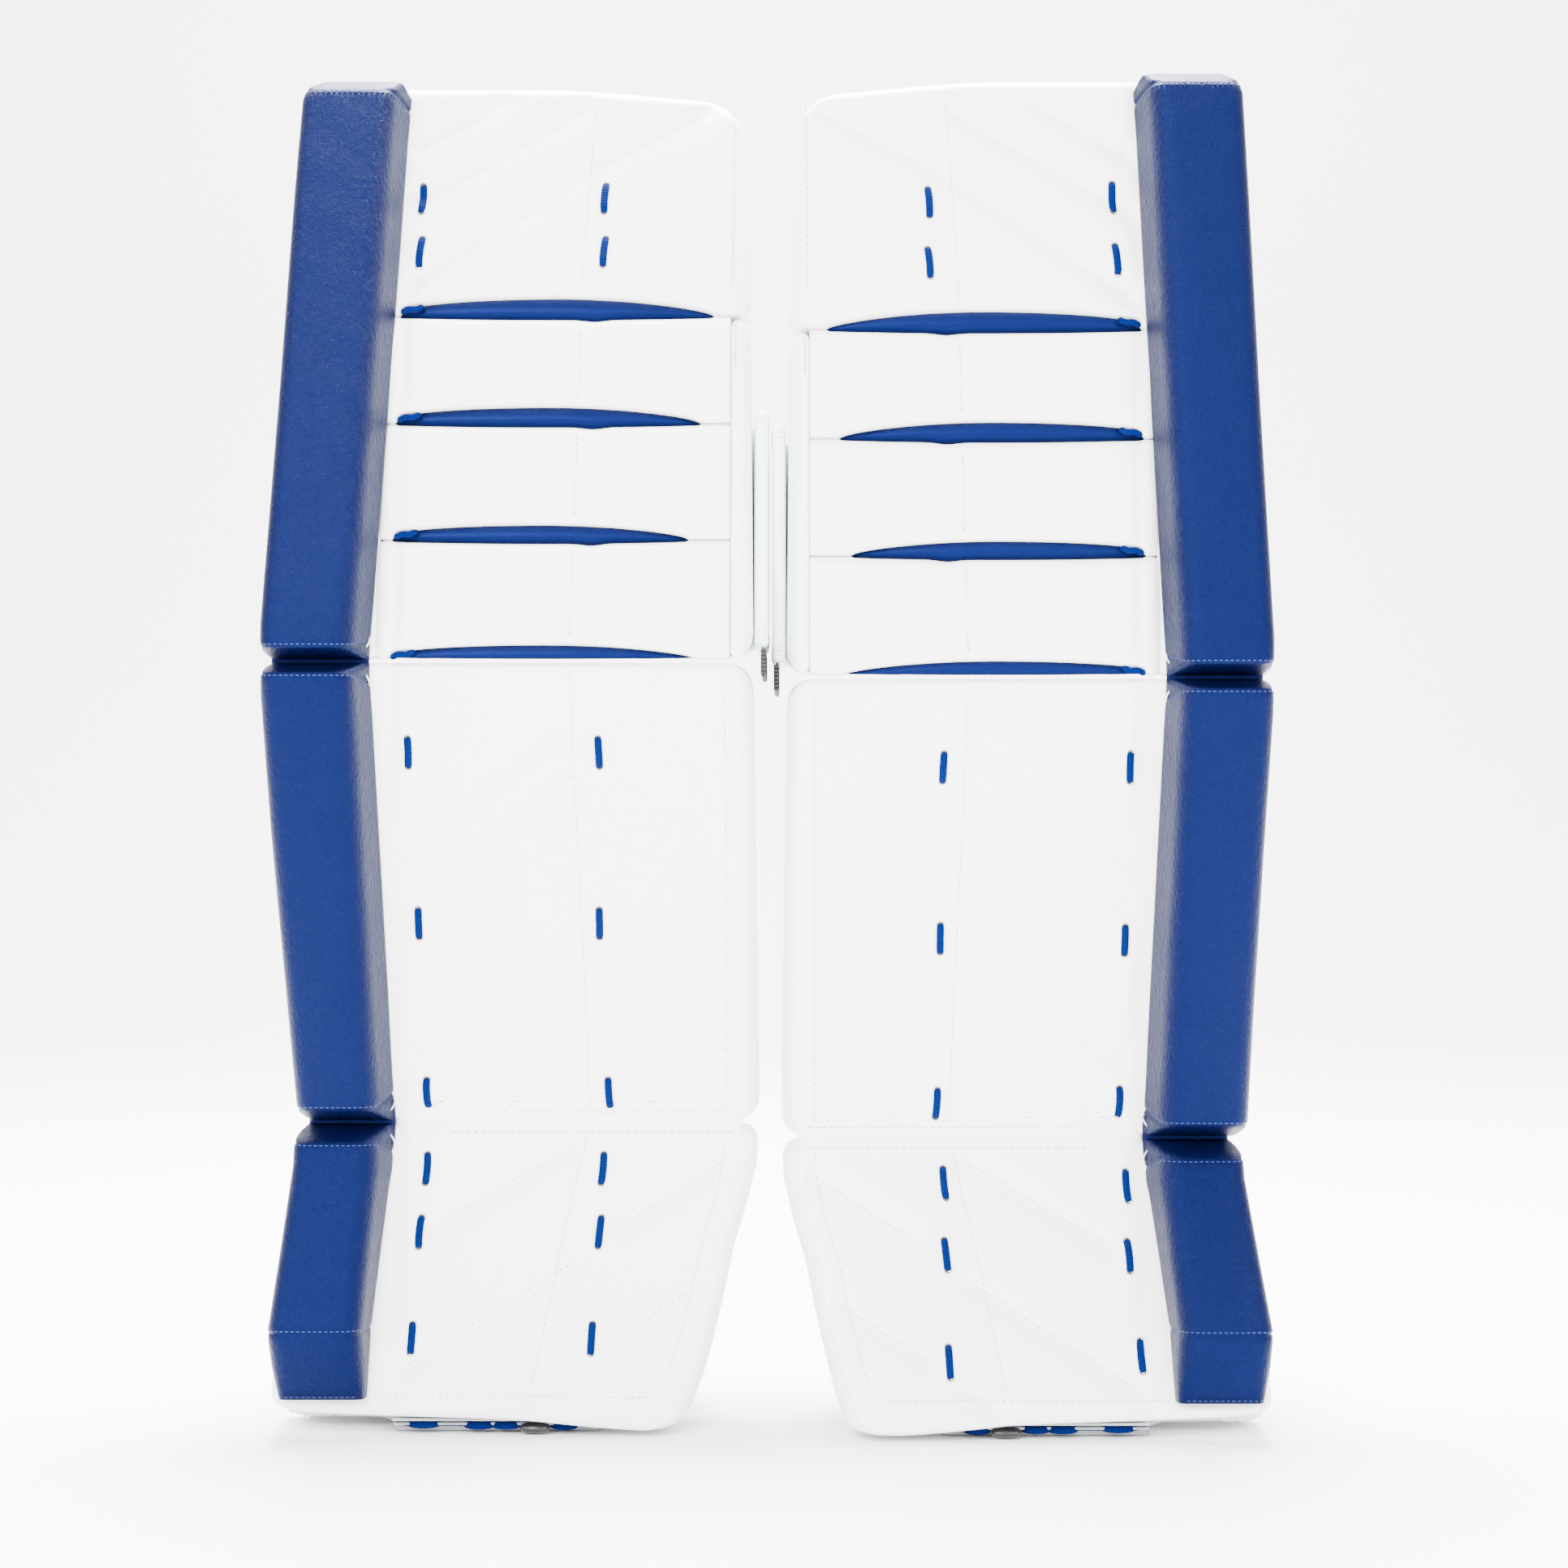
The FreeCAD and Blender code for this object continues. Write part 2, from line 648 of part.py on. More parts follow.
# ---------------------------------------------------------------- thigh section
def make_thigh(pad):
    face = thigh_face

    def recess(inset):
        """The space that the knee rolls and their base take out of the section."""
        depth = f"(knee_roll_depth + knee_base_depth + fit_gap + {inset})"
        low = "knee_height - recess_overrun"
        top = f"(third_roll_top + {inset})"
        corners = [
            ("knee_front - recess_overrun", low),
            (f"{face(low)} + {depth}", low),
            (f"{face(top)} + {depth}", top),
            (f"{face(top)} - recess_overrun", top),
        ]
        return pad.across("knee_recess", corners, "-overrun", f"knee_roll_outer + fit_gap + {inset}")

    pad.keep("thigh_cover", pad.shell("thigh_cover", thigh_profile, thigh_outline, recess))
    inset = "(skin + fit_gap)"
    foam = pad.section("thigh_core_foam", thigh_profile, thigh_outline, inset)
    pad.keep("thigh_core", pad.cut("thigh_core_stepped", foam, recess(inset)))

    # Knee rolls: three padded bars stacked up the front of the knee, a slot above each.
    # The lowest bar and the base behind the bars are cut to clear the shin at the break.
    def bar(low, high, front, rear):
        low_rear = low
        if low == "knee_height":
            low = f"(knee_height + {break_line('knee_notch', '0', front)})"
            low_rear = f"(knee_height + {break_line('knee_notch', '0', rear)})"
        return [
            (f"{face(low)} + {front}", low),
            (f"{face(low_rear)} + {rear}", low_rear),
            (f"{face(high)} + {rear}", high),
            (f"{face(high)} + {front}", high),
        ]

    ends = ["knee_height", "first_roll_top", "second_roll_top", "third_roll_top"]
    bars = []
    for i in range(3):
        high = f"({ends[i + 1]} - knee_roll_gap)"
        corners = bar(ends[i], high, "(fit_gap - knee_roll_bulge)", "(knee_roll_depth - fit_gap)")
        bars.append(pad.across(f"knee_roll_{i}", corners, "knee_roll_inner", "knee_roll_outer"))
    pad.keep("knee_rolls", pad.group("knee_rolls_group", bars))

    top = "(third_roll_top - fit_gap)"
    base = bar(ends[0], top, "knee_roll_depth", "(knee_roll_depth + knee_base_depth)")
    pad.keep("knee_base", pad.across("knee_base_sheet", base, "knee_roll_inner", "knee_roll_outer"))

    low_end = "(knee_height + roll_end_gap)"
    low_bend = "(knee_height + roll_end_gap + knee_cap_run)"
    middle = "((knee_height + pad_top) / 2)"
    high_bend = "(pad_top - top_cap_run)"
    between = "((roll_knee_inner + roll_top_inner) / 2)"
    roll = pad.loft("outer_roll_upper_loft", [
        roll_outline(face, low_end, "roll_knee_inner", "roll_knee_outer", "roll_cap"),
        roll_outline(face, low_bend, "roll_knee_inner", "roll_knee_outer", "roll_proud"),
        roll_outline(face, middle, between, "roll_thigh_outer", "roll_proud"),
        roll_outline(face, high_bend, "roll_top_inner", "roll_top_outer", "roll_proud"),
        roll_outline(face, "pad_top", "roll_top_inner", "roll_top_outer", "roll_top_proud"),
    ])
    pad.keep("outer_roll_upper", roll)

    rows = [f"knee_height + thigh_lace_{place}" for place in ("first", "second")]
    stitches = lace_stitches(pad, "thigh_laces", face, rows)
    pad.keep("thigh_laces", pad.group("thigh_laces_group", stitches))

    low = "(knee_height + knee_cushion_low)"
    high = "(knee_height + knee_cushion_high)"
    cushion = slanted(face, low, high, "fit_gap", "cushion_thick")
    pad.keep("knee_cushion", pad.across("knee_cushion_pad", cushion, "cushion_inner", "cushion_outer"))


def make_knee_block(pad):
    face = thigh_face
    low = "(knee_height + knee_block_low)"
    high = "(knee_height + knee_block_high)"
    beside = slanted(face, low, high, "(knee_block_front - core_depth)", "knee_block_length")
    behind = slanted(face, low, high, "fit_gap", "knee_block_length")
    edge = "(medial_knee - fit_gap)"
    plate = pad.across("knee_block_plate", beside, "knee_block_medial", edge)
    block = pad.across("knee_block_rear", behind, f"{edge} - overrun", "knee_block_lateral")
    pad.keep("knee_block", pad.fuse("knee_block_solid", plate, block))


def make_knee_wrap(pad):
    face = thigh_face
    low = "(knee_height + knee_wing_low)"
    high = "(knee_height + knee_wing_high)"
    wing = slanted(face, low, high, "fit_gap", "knee_wing_length")
    outside = "wing_outer_place + wing_thick"
    pad.keep("knee_wing", pad.across("knee_wing_pad", wing, "wing_outer_place", outside))

    # The elastic strap crosses behind the wing and the block, and its end shows at the break.
    near = "(knee_wing_length + wing_swing_gap)"
    low = "(knee_height + knee_strap_low)"
    high = "(knee_height + knee_strap_high)"
    band = slanted(face, low, high, near, f"({near} + strap_thick)")
    pad.keep("knee_strap", pad.across("knee_strap_band", band, "knee_strap_inner", outside))

    low = "(knee_height - strap_end_low)"
    high = "(knee_height + knee_block_low - fit_gap)"
    end = [
        ("knee_front + strap_end_front", low),
        ("knee_front + core_depth + knee_block_length", low),
        ("knee_front + core_depth + knee_block_length", high),
        ("knee_front + strap_end_front", high),
    ]
    edge = "(strap_end_medial + strap_thick)"
    pad.keep("knee_strap_end", pad.across("knee_strap_end_band", end, "strap_end_medial", edge))


MAKERS = (
    make_boot,
    make_toe,
    make_boot_back,
    make_shin,
    make_calf_wrap,
    make_thigh,
    make_knee_block,
    make_knee_wrap,
)

nodes = []
for side in SIDES:
    pad = Pad(side)
    for make in MAKERS:
        make(pad)
    nodes += pad.nodes
DOC.recompute()

for item in DOC.Objects:
    if "Invalid" in item.State or "Error" in item.State:
        raise RuntimeError(f"{item.Name} failed to compute: {item.State}")
for item in nodes:
    if item.Shape.isNull() or not item.Shape.isValid():
        raise RuntimeError(f"{item.Label} has no valid shape")
    if not item.Shape.Solids:
        raise RuntimeError(f"{item.Label} holds no solid")

os.makedirs("parts", exist_ok=True)
for item in nodes:
    item.Shape.exportStep(os.path.join("parts", f"{item.Label}.step"))
print(f"wrote {len(nodes)} sub-parts")
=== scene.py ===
import json
import math

import bmesh
import bpy
import numpy as np
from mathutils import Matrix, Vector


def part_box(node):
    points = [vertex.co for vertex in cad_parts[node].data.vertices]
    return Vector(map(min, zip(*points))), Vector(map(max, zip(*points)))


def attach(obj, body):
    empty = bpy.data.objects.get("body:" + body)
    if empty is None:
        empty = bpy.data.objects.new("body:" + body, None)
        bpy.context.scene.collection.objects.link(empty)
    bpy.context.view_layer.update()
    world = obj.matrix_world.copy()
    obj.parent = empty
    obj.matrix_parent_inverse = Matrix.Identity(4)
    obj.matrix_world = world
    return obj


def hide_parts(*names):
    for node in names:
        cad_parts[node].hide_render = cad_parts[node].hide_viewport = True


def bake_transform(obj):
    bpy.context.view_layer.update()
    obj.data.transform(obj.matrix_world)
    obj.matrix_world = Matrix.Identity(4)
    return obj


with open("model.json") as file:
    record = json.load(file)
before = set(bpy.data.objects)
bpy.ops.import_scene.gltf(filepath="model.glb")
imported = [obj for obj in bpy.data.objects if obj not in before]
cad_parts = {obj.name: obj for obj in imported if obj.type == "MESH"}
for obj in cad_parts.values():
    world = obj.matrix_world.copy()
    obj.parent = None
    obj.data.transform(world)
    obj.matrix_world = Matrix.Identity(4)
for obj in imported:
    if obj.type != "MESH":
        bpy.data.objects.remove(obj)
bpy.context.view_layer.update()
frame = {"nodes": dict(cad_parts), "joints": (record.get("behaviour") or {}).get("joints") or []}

bl_info = {
    "name": "Goalie Leg Pads",
    "version": (1, 0, 0),
    "blender": (4, 5, 0),
    "location": "View3D > Sidebar > Leg Pads",
    "description": "Builds the sewn covers, rolls, laces and straps of a pair of goalie leg pads",
    "category": "Add Mesh",
}

SIDES = ("right", "left")
MM = 0.001

# ------------------------------------------------------------------ where the pads stand
# Distances from the plane between the pads (x), behind a face (depth) and above the floor.
DEPTH = 66 * MM
SOLE_RISE = 12 * MM
GUSSET = 21.5 * MM

# Height above the knee break of the creases between the knee rolls, how far the slot above
# each crease arches open, and where that slot starts beside the gusset.
CREASES = (0.6 * MM, 66.5 * MM, 131.5 * MM, 192.5 * MM)
ARCHES = (7.5 * MM, 7.5 * MM, 8.5 * MM, 9.5 * MM)
SLOT_STARTS = (40 * MM, 45 * MM, 39 * MM, 31 * MM)
SLOT_END = 205 * MM


def table(*rows):
    """Two matching arrays in metres from rows of (height, distance) in millimetres."""
    array = np.array(rows, float) * MM
    return array[:, 0], array[:, 1]


# Edges of the boot, from its sole up to the boot break; heights are above the floor.
BOOT_MEDIAL = table((0, 66), (4, 57), (12, 48), (25, 40), (40, 34.5), (56, 30), (80, 24), (101, 19.5),
                    (123, 12.5), (145, 7.5), (166, 6))
BOOT_LATERAL = table((0, 262), (6, 266), (14, 269), (58, 269.5), (100, 264), (140, 259), (166, 257))
# The same for the stitched edge of the front panel above the boot, from the knee break.
FRONT_SEAM = table((-250, 24.5), (0, 24), (190, 21), (330, 19.5))
# Edges of the lower outer roll.
ROLL_TOE_OUTER = table((22, 264), (40, 268), (58, 270), (100, 265), (145, 260), (166, 260))
ROLL_TOE_INNER = table((22, 217), (40, 216.5), (58, 216), (100, 212), (145, 207.5), (166, 207))


class Stance:
    """One pad's faces, edges and breaks, read from the frame. x is counted from the middle."""

    def __init__(self, side):
        joints = {joint["name"]: joint for joint in frame["joints"]}
        self.side = side
        self.sign = 1 if side == "left" else -1
        _, self.ankle_y, self.ankle = joints[f"{side}_boot_flex"]["pos_m"]
        _, self.knee_y, self.knee = joints[f"{side}_knee_flex"]["pos_m"]
        self.toe_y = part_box(f"{side}_boot_cover")[0].y
        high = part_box(f"{side}_thigh_cover")[1]
        self.top = high.z + 4 * MM
        self.top_y = high.y - DEPTH
        self.heights = np.array([SOLE_RISE, self.ankle, self.knee, self.top])
        self.fronts = np.array([self.toe_y, self.ankle_y, self.knee_y, self.top_y])

    def face(self, z, part):
        """Front face position at a height, on the straight line of one part, past its ends too."""
        i = {"boot": 0, "shin": 1, "thigh": 2}[part]
        slope = (self.fronts[i + 1] - self.fronts[i]) / (self.heights[i + 1] - self.heights[i])
        return self.fronts[i] + slope * (z - self.heights[i])

    def place(self, x, depth, z, part):
        """World points of x, depth behind the face, and height."""
        x, depth, z = np.broadcast_arrays(x, depth, z)
        return np.stack([self.sign * x, self.face(z, part) + depth, z], axis=-1)

    def medial(self, z):
        low = np.interp(z + 166 * MM - self.ankle, *BOOT_MEDIAL)
        high = np.interp(z, [self.ankle, self.knee, self.top], [6 * MM, 9 * MM, 12 * MM])
        return np.where(z < self.ankle, low, high)

    def lateral(self, z):
        low = np.interp(z + 166 * MM - self.ankle, *BOOT_LATERAL)
        high = np.interp(z, [self.ankle, self.knee, self.top], [257 * MM, 274 * MM, 256 * MM])
        return np.where(z < self.ankle, low, high)

    def seam(self, z):
        """Where the stitched edge of the front panel runs on the medial side."""
        high = np.interp(z - self.knee, *FRONT_SEAM)
        return np.where(z < self.ankle, self.medial(z) + 18 * MM, high)

    def name(self, piece):
        return f"{self.side}_{piece}"


# ------------------------------------------------------------------ mesh building
def ease(low, high, x):
    """0 below low, 1 above high, and a smooth step between them."""
    t = np.clip((x - low) / (high - low), 0, 1)
    return t * t * (3 - 2 * t)


def ripple(x, z, size, seed):
    """Soft irregular waves about as long as size, between -1 and 1."""
    spread = np.random.default_rng(seed)
    total = np.zeros(np.broadcast(x, z).shape)
    for _ in range(7):
        angle = spread.uniform(0, math.pi)
        rate = 2 * math.pi / (size * spread.uniform(0.7, 1.8))
        phase = spread.uniform(0, 2 * math.pi)
        total += np.sin(rate * (x * math.cos(angle) + z * math.sin(angle)) + phase)
    return total / 7


def distance(x, z, start, end):
    """Distance from points (x, z) to the segment from start to end."""
    ax, az = start
    bx, bz = end
    length = (bx - ax) ** 2 + (bz - az) ** 2
    t = np.clip(((x - ax) * (bx - ax) + (z - az) * (bz - az)) / length, 0, 1)
    return np.hypot(x - ax - t * (bx - ax), z - az - t * (bz - az))


class Surface:
    """Collects the points and faces of one piece before it becomes an object."""

    def __init__(self):
        self.points = []
        self.faces = []
        self.looks = []
        self.count = 0

    def add(self, points, faces, look=0):
        points = np.asarray(points, float).reshape(-1, 3)
        self.points.append(points)
        self.faces += [tuple(i + self.count for i in face) for face in faces]
        self.looks += [look] * len(faces)
        self.count += len(points)

    def rings(self, rings, caps=(True, True), look=0, looks=None, closed=True):
        """Skins a stack of rings of points, closed round each ring, with fans over the ends."""
        rows, columns = rings.shape[:2]
        points = rings.reshape(-1, 3)
        around = columns if closed else columns - 1
        faces = []
        chosen = []
        for row in range(rows - 1):
            for column in range(around):
                following = (column + 1) % columns
                base = row * columns
                faces.append((base + column, base + following, base + columns + following,
                              base + columns + column))
                chosen.append(look if looks is None else looks[column])
        for end, wanted in zip((0, rows - 1), caps):
            if wanted:
                centre = rings[end].mean(axis=0)
                points = np.vstack([points, centre])
                tip = len(points) - 1
                for column in range(columns):
                    faces.append((end * columns + column, end * columns + (column + 1) % columns, tip))
                    chosen.append(look)
        start = len(self.looks)
        self.add(points, faces)
        self.looks[start:] = chosen

    def tube(self, path, width, height=None, sides=10, up=(0, -1, 0), look=0, taper=True):
        """A closed oval tube along a path; width lies across the path and height along up."""
        path = np.asarray(path, float)
        height = width if height is None else height
        along = np.gradient(path, axis=0)
        along /= np.linalg.norm(along, axis=1)[:, None]
        across = np.cross(along, np.asarray(up, float))
        across /= np.maximum(np.linalg.norm(across, axis=1)[:, None], 1e-9)
        out = np.cross(across, along)
        angle = np.linspace(0, 2 * math.pi, sides, endpoint=False)
        size = np.ones(len(path))
        if taper:
            size[0] = size[-1] = 0.55
        ring = (across[:, None, :] * (np.cos(angle) * width / 2)[None, :, None]
                + out[:, None, :] * (np.sin(angle) * height / 2)[None, :, None])
        self.rings(path[:, None, :] + ring * size[:, None, None], look=look)

    def stitches(self, path, pitch, length, thick, look=0):
        """A row of short thread stitches along a path."""
        path = np.asarray(path, float)
        steps = np.linalg.norm(np.diff(path, axis=0), axis=1)
        run = np.concatenate([[0], np.cumsum(steps)])
        centres = np.arange(pitch / 2, run[-1], pitch)
        angle = np.linspace(0, 2 * math.pi, 5, endpoint=False)
        for centre in centres:
            ends = [np.array([np.interp(centre + shift, run, path[:, k]) for k in range(3)])
                    for shift in (-length / 2, length / 2)]
            along = ends[1] - ends[0]
            along /= max(np.linalg.norm(along), 1e-9)
            side = np.cross(along, (0.3, 1.0, 0.2))
            side /= np.linalg.norm(side)
            other = np.cross(along, side)
            ring = (np.cos(angle)[:, None] * side + np.sin(angle)[:, None] * other) * thick / 2
            middle = (ends[0] + ends[1]) / 2
            near = middle - along * length * 0.3 + ring
            far = middle + along * length * 0.3 + ring
            points = np.vstack([ends[0], near, far, ends[1]])
            faces = []
            for i in range(5):
                j = (i + 1) % 5
                faces += [(0, 1 + j, 1 + i), (1 + i, 1 + j, 6 + j, 6 + i), (6 + i, 6 + j, 11)]
            self.add(points, faces, look)

    def build(self, name, materials, flat=False):
        """Makes the object, with outward faces and smooth shading."""
        mesh = bpy.data.meshes.new(name)
        mesh.from_pydata(np.vstack(self.points).tolist(), [], self.faces)
        for material in materials:
            mesh.materials.append(material)
        mesh.polygons.foreach_set("material_index", np.array(self.looks, np.int32))
        mesh.polygons.foreach_set("use_smooth", [not flat] * len(mesh.polygons))
        piece = bpy.data.objects.new(name, mesh)
        bpy.context.scene.collection.objects.link(piece)
        face_outward(piece)
        return piece


def face_outward(piece):
    """Turns every face of a piece outward."""
    work = bmesh.new()
    work.from_mesh(piece.data)
    bmesh.ops.recalc_face_normals(work, faces=work.faces)
    work.to_mesh(piece.data)
    work.free()


def slab_loop(corners, counts):
    """A rounded rectangle's loop as (share of width, offset, share of depth, offset) arrays.

    corners are the front medial, front lateral, back lateral and back medial corners, each with
    its radius across and its radius in depth.
    """
    front, side, corner = counts
    parts = []

    def straight(start, end, count):
        t = np.linspace(0, 1, count, endpoint=False)[:, None]
        parts.append(np.array(start) * (1 - t) + np.array(end) * t)

    def bend(share_x, share_d, radii, first):
        angle = np.radians(first + np.linspace(0, 90, corner, endpoint=False))
        across, deep = radii
        centre = [share_x, across * (1 - 2 * share_x), share_d, deep * (1 - 2 * share_d)]
        rows = np.tile(np.array(centre, float), (corner, 1))
        rows[:, 1] += across * np.cos(angle)
        rows[:, 3] += deep * np.sin(angle)
        parts.append(rows)

    (ax, ad), (bx, bd), (cx, cd), (dx, dd) = corners
    straight((0, ax, 0, 0), (1, -bx, 0, 0), front)
    bend(1, 0, corners[1], -90)
    straight((1, 0, 0, bd), (1, 0, 1, -cd), side)
    bend(1, 1, corners[2], 0)
    straight((1, -cx, 1, 0), (0, dx, 1, 0), front // 3)
    bend(0, 1, corners[3], 90)
    straight((0, 0, 1, -dd), (0, 0, 0, ad), side)
    bend(0, 0, corners[0], 180)
    return np.vstack(parts).T


def end_rounding(rows, radius, length, thick):
    """Ring positions along a slab with an inset for each: both ends rounded, then closed over."""
    turn = np.linspace(0, math.pi / 2, 7)
    rise = radius * (1 - np.cos(turn)) / length
    inset = radius * (1 - np.sin(turn))
    middle = np.linspace(rise[-1], 1 - rise[-1], rows)[1:-1]
    lid = radius + (thick / 2 - 0.3 * MM - radius) * np.linspace(1, 0, 7)[:-1] ** 1.5
    shares = np.concatenate([0 * lid, rise, middle, 1 - rise[::-1], 0 * lid + 1])
    insets = np.concatenate([lid, inset, np.zeros(len(middle)), inset[::-1], lid[::-1]])
    return shares, insets


def slab(pad, part, edges, ends, near, far, relief, rounding, corners, counts):
    """Rings of a padded slab. edges gives x limits at a height, ends the heights of both ends
    at (x, depth), near and far its depth, and relief the outward swell of the front."""
    share_x, shift_x, share_d, shift_d = slab_loop(corners, counts[:3])
    low, high = ends
    middle_x = 140 * MM
    length = float(high(middle_x, near) - low(middle_x, near))
    inner, outer = edges(np.array(float(low(middle_x, near))))
    thick = min(far - near, float(outer - inner))
    shares, insets = end_rounding(counts[3], rounding, length, thick)
    rings = []
    for share, inset in zip(shares, insets):
        left = (thick - 2 * inset) / thick
        depth = near + inset + share_d * (far - near - 2 * inset) + shift_d * left
        guess = low(middle_x, depth) * (1 - share) + high(middle_x, depth) * share
        inner, outer = edges(guess)
        x = inner + inset + share_x * (outer - inner - 2 * inset) + shift_x * left
        z = low(x, depth) * (1 - share) + high(x, depth) * share
        front = (1 - ease(near + 2 * MM, near + 9 * MM, depth)) * max(0.0, 1 - inset / rounding)
        rings.append(pad.place(x, depth - relief(x, z) * front, z, part))
    return np.array(rings)


def rounded(corners, radii, count):
    """An open line through corners, each inner one rounded off, as count evenly spread points."""
    corners = np.asarray(corners, float)
    line = [corners[:1]]
    for before, corner, after, radius in zip(corners, corners[1:], corners[2:], radii):
        start = corner + (before - corner) * radius / np.linalg.norm(before - corner)
        end = corner + (after - corner) * radius / np.linalg.norm(after - corner)
        t = np.linspace(0, 1, 9)[:, None]
        line.append(start * (1 - t) ** 2 + 2 * corner * t * (1 - t) + end * t ** 2)
    line.append(corners[-1:])
    return spread_out(np.vstack(line), count)


def spread_out(line, count):
    """The same line as count evenly spaced points."""
    run = np.concatenate([[0], np.cumsum(np.linalg.norm(np.diff(line, axis=0), axis=1))])
    places = np.linspace(0, run[-1], count)
    return np.stack([np.interp(places, run, line[:, k]) for k in range(line.shape[1])], axis=1)


# ------------------------------------------------------------------ shader building
class Value:
    """A socket that adds, multiplies and mixes like a number."""

    def __init__(self, finish, socket):
        self.finish = finish
        self.socket = socket

    def __add__(self, other):
        return self.finish.math("ADD", self, other)

    def __sub__(self, other):
        return self.finish.math("SUBTRACT", self, other)

    def __rsub__(self, other):
        return self.finish.math("SUBTRACT", other, self)

    def __mul__(self, other):
        return self.finish.math("MULTIPLY", self, other)

    def __lt__(self, other):
        return self.finish.math("LESS_THAN", self, other)

    __radd__ = __add__
    __rmul__ = __mul__


class Finish:
    """One procedural material, built up node by node."""

    def __init__(self, name):
        self.material = bpy.data.materials.new(name)
        self.material.use_nodes = True
        self.tree = self.material.node_tree
        self.shader = self.tree.nodes["Principled BSDF"]

    def fill(self, node, inputs):
        for key, value in inputs.items():
            if isinstance(value, Value):
                self.tree.links.new(value.socket, node.inputs[key])
            else:
                node.inputs[key].default_value = value

    def node(self, kind, settings=None, inputs=None, output=0):
        """Adds a node: settings first, then the values or links of its sockets."""
        node = self.tree.nodes.new(kind)
        for key, value in (settings or {}).items():
            setattr(node, key, value)
        self.fill(node, inputs or {})
        return Value(self, node.outputs[output])

    def math(self, operation, a, b):
        return self.node("ShaderNodeMath", {"operation": operation}, {0: a, 1: b})

    def place(self):
        return self.node("ShaderNodeTexCoord", output="Object")

    def noise(self, size, detail=4.0, place=None):
        """Fractal noise whose features are about size metres across."""
        inputs = {"Vector": place or self.place(), "Scale": 1 / size, "Detail": detail}
        return self.node("ShaderNodeTexNoise", {}, inputs)

    def cells(self, size, place=None, feature="F1", output=0):
        inputs = {"Vector": place or self.place(), "Scale": 1 / size}
        return self.node("ShaderNodeTexVoronoi", {"feature": feature}, inputs, output)

    def stretch(self, scale):
        return self.node("ShaderNodeMapping", {}, {"Vector": self.place(), "Scale": scale})

    def blend(self, factor, first, second):
        """A colour between two colours."""
        node = self.tree.nodes.new("ShaderNodeMix")
        node.data_type = "RGBA"
        self.fill(node, {0: factor, 6: first, 7: second})
        return Value(self, node.outputs[2])

    def bump(self, height, strength, reach, below=None):
        inputs = {"Height": height, "Strength": strength, "Distance": reach}
        if below is not None:
            inputs["Normal"] = below
        return self.node("ShaderNodeBump", {}, inputs)

    def shade(self, **inputs):
        """Sets the shader's sockets; underscores in names stand for spaces."""
        self.fill(self.shader, {key.replace("_", " "): value for key, value in inputs.items()})
        return self.material


def rgba(colour):
    return (*colour, 1.0)


# Tint of the shine on blue leather, which keeps its highlights blue.
BLUE_GLOSS = (0.12, 0.20, 0.80, 1.0)

finishes = {}


def finish(name):
    """The named material, made on first use from the finish settings."""
    if name not in finishes:
        finishes[name] = MAKERS[name](bpy.context.scene.pad_finish)
    return finishes[name]


def white_leather(settings):
    look = Finish("white_leather")
    grain = look.cells(settings.grain_size * 0.8, feature="DISTANCE_TO_EDGE")
    soft = look.noise(settings.grain_size * 2.5)
    cloud = look.noise(0.06, 2.0)
    tone = look.blend(cloud, rgba(settings.white), rgba([c * 0.965 for c in settings.white]))
    tone = look.blend((1 - grain) * 0.07, tone, rgba((0.62, 0.63, 0.64)))
    normal = look.bump(grain, 0.16, 0.0003)
    normal = look.bump(soft, 0.16, 0.0005, normal)
    normal = look.bump(look.noise(0.022, 2.0), 0.25, 0.0018, normal)
    rough = 0.40 + 0.16 * look.noise(0.012, 3.0)
    return look.shade(Base_Color=tone, Roughness=rough, Normal=normal, Coat_Roughness=0.3,
                      Specular_IOR_Level=0.45)


def slick_side(settings):
    look = Finish("slick_side")
    cloud = look.noise(0.05, 2.0)
    tone = look.blend(cloud, rgba((0.80, 0.875, 0.865)), rgba((0.86, 0.91, 0.90)))
    normal = look.bump(look.noise(0.004, 3.0), 0.06, 0.0003)
    normal = look.bump(look.noise(0.03, 2.0), 0.16, 0.0015, normal)
    rough = 0.24 + 0.10 * look.noise(0.02, 2.0)
    return look.shade(Base_Color=tone, Roughness=rough, Normal=normal, Specular_IOR_Level=0.5)


def blue_leather(settings):
    look = Finish("blue_leather")
    warp = look.noise(settings.grain_size * 3, 3.0)
    grain = look.cells(settings.grain_size, feature="DISTANCE_TO_EDGE")
    pebble = look.cells(settings.grain_size * 0.55)
    crease = look.noise(settings.grain_size * 1.6, 5.0, look.stretch((1.0, 1.0, 0.45)))
    cloud = look.noise(0.045, 3.0)
    deep = rgba(settings.blue)
    pale = rgba([c * 1.4 + 0.0003 for c in settings.blue])
    tone = look.blend(cloud * 0.8, deep, pale)
    tone = look.blend((grain < 0.05) * 0.5, tone, rgba([c * 0.6 for c in settings.blue]))
    normal = look.bump(grain + 0.5 * warp, 0.55, 0.0005)
    normal = look.bump(1 - pebble, 0.45, 0.0003, normal)
    normal = look.bump(crease, 0.6, 0.0008, normal)
    rough = 0.30 + 0.22 * crease
    return look.shade(Base_Color=tone, Roughness=rough, Normal=normal, Specular_IOR_Level=0.3,
                      Specular_Tint=BLUE_GLOSS)


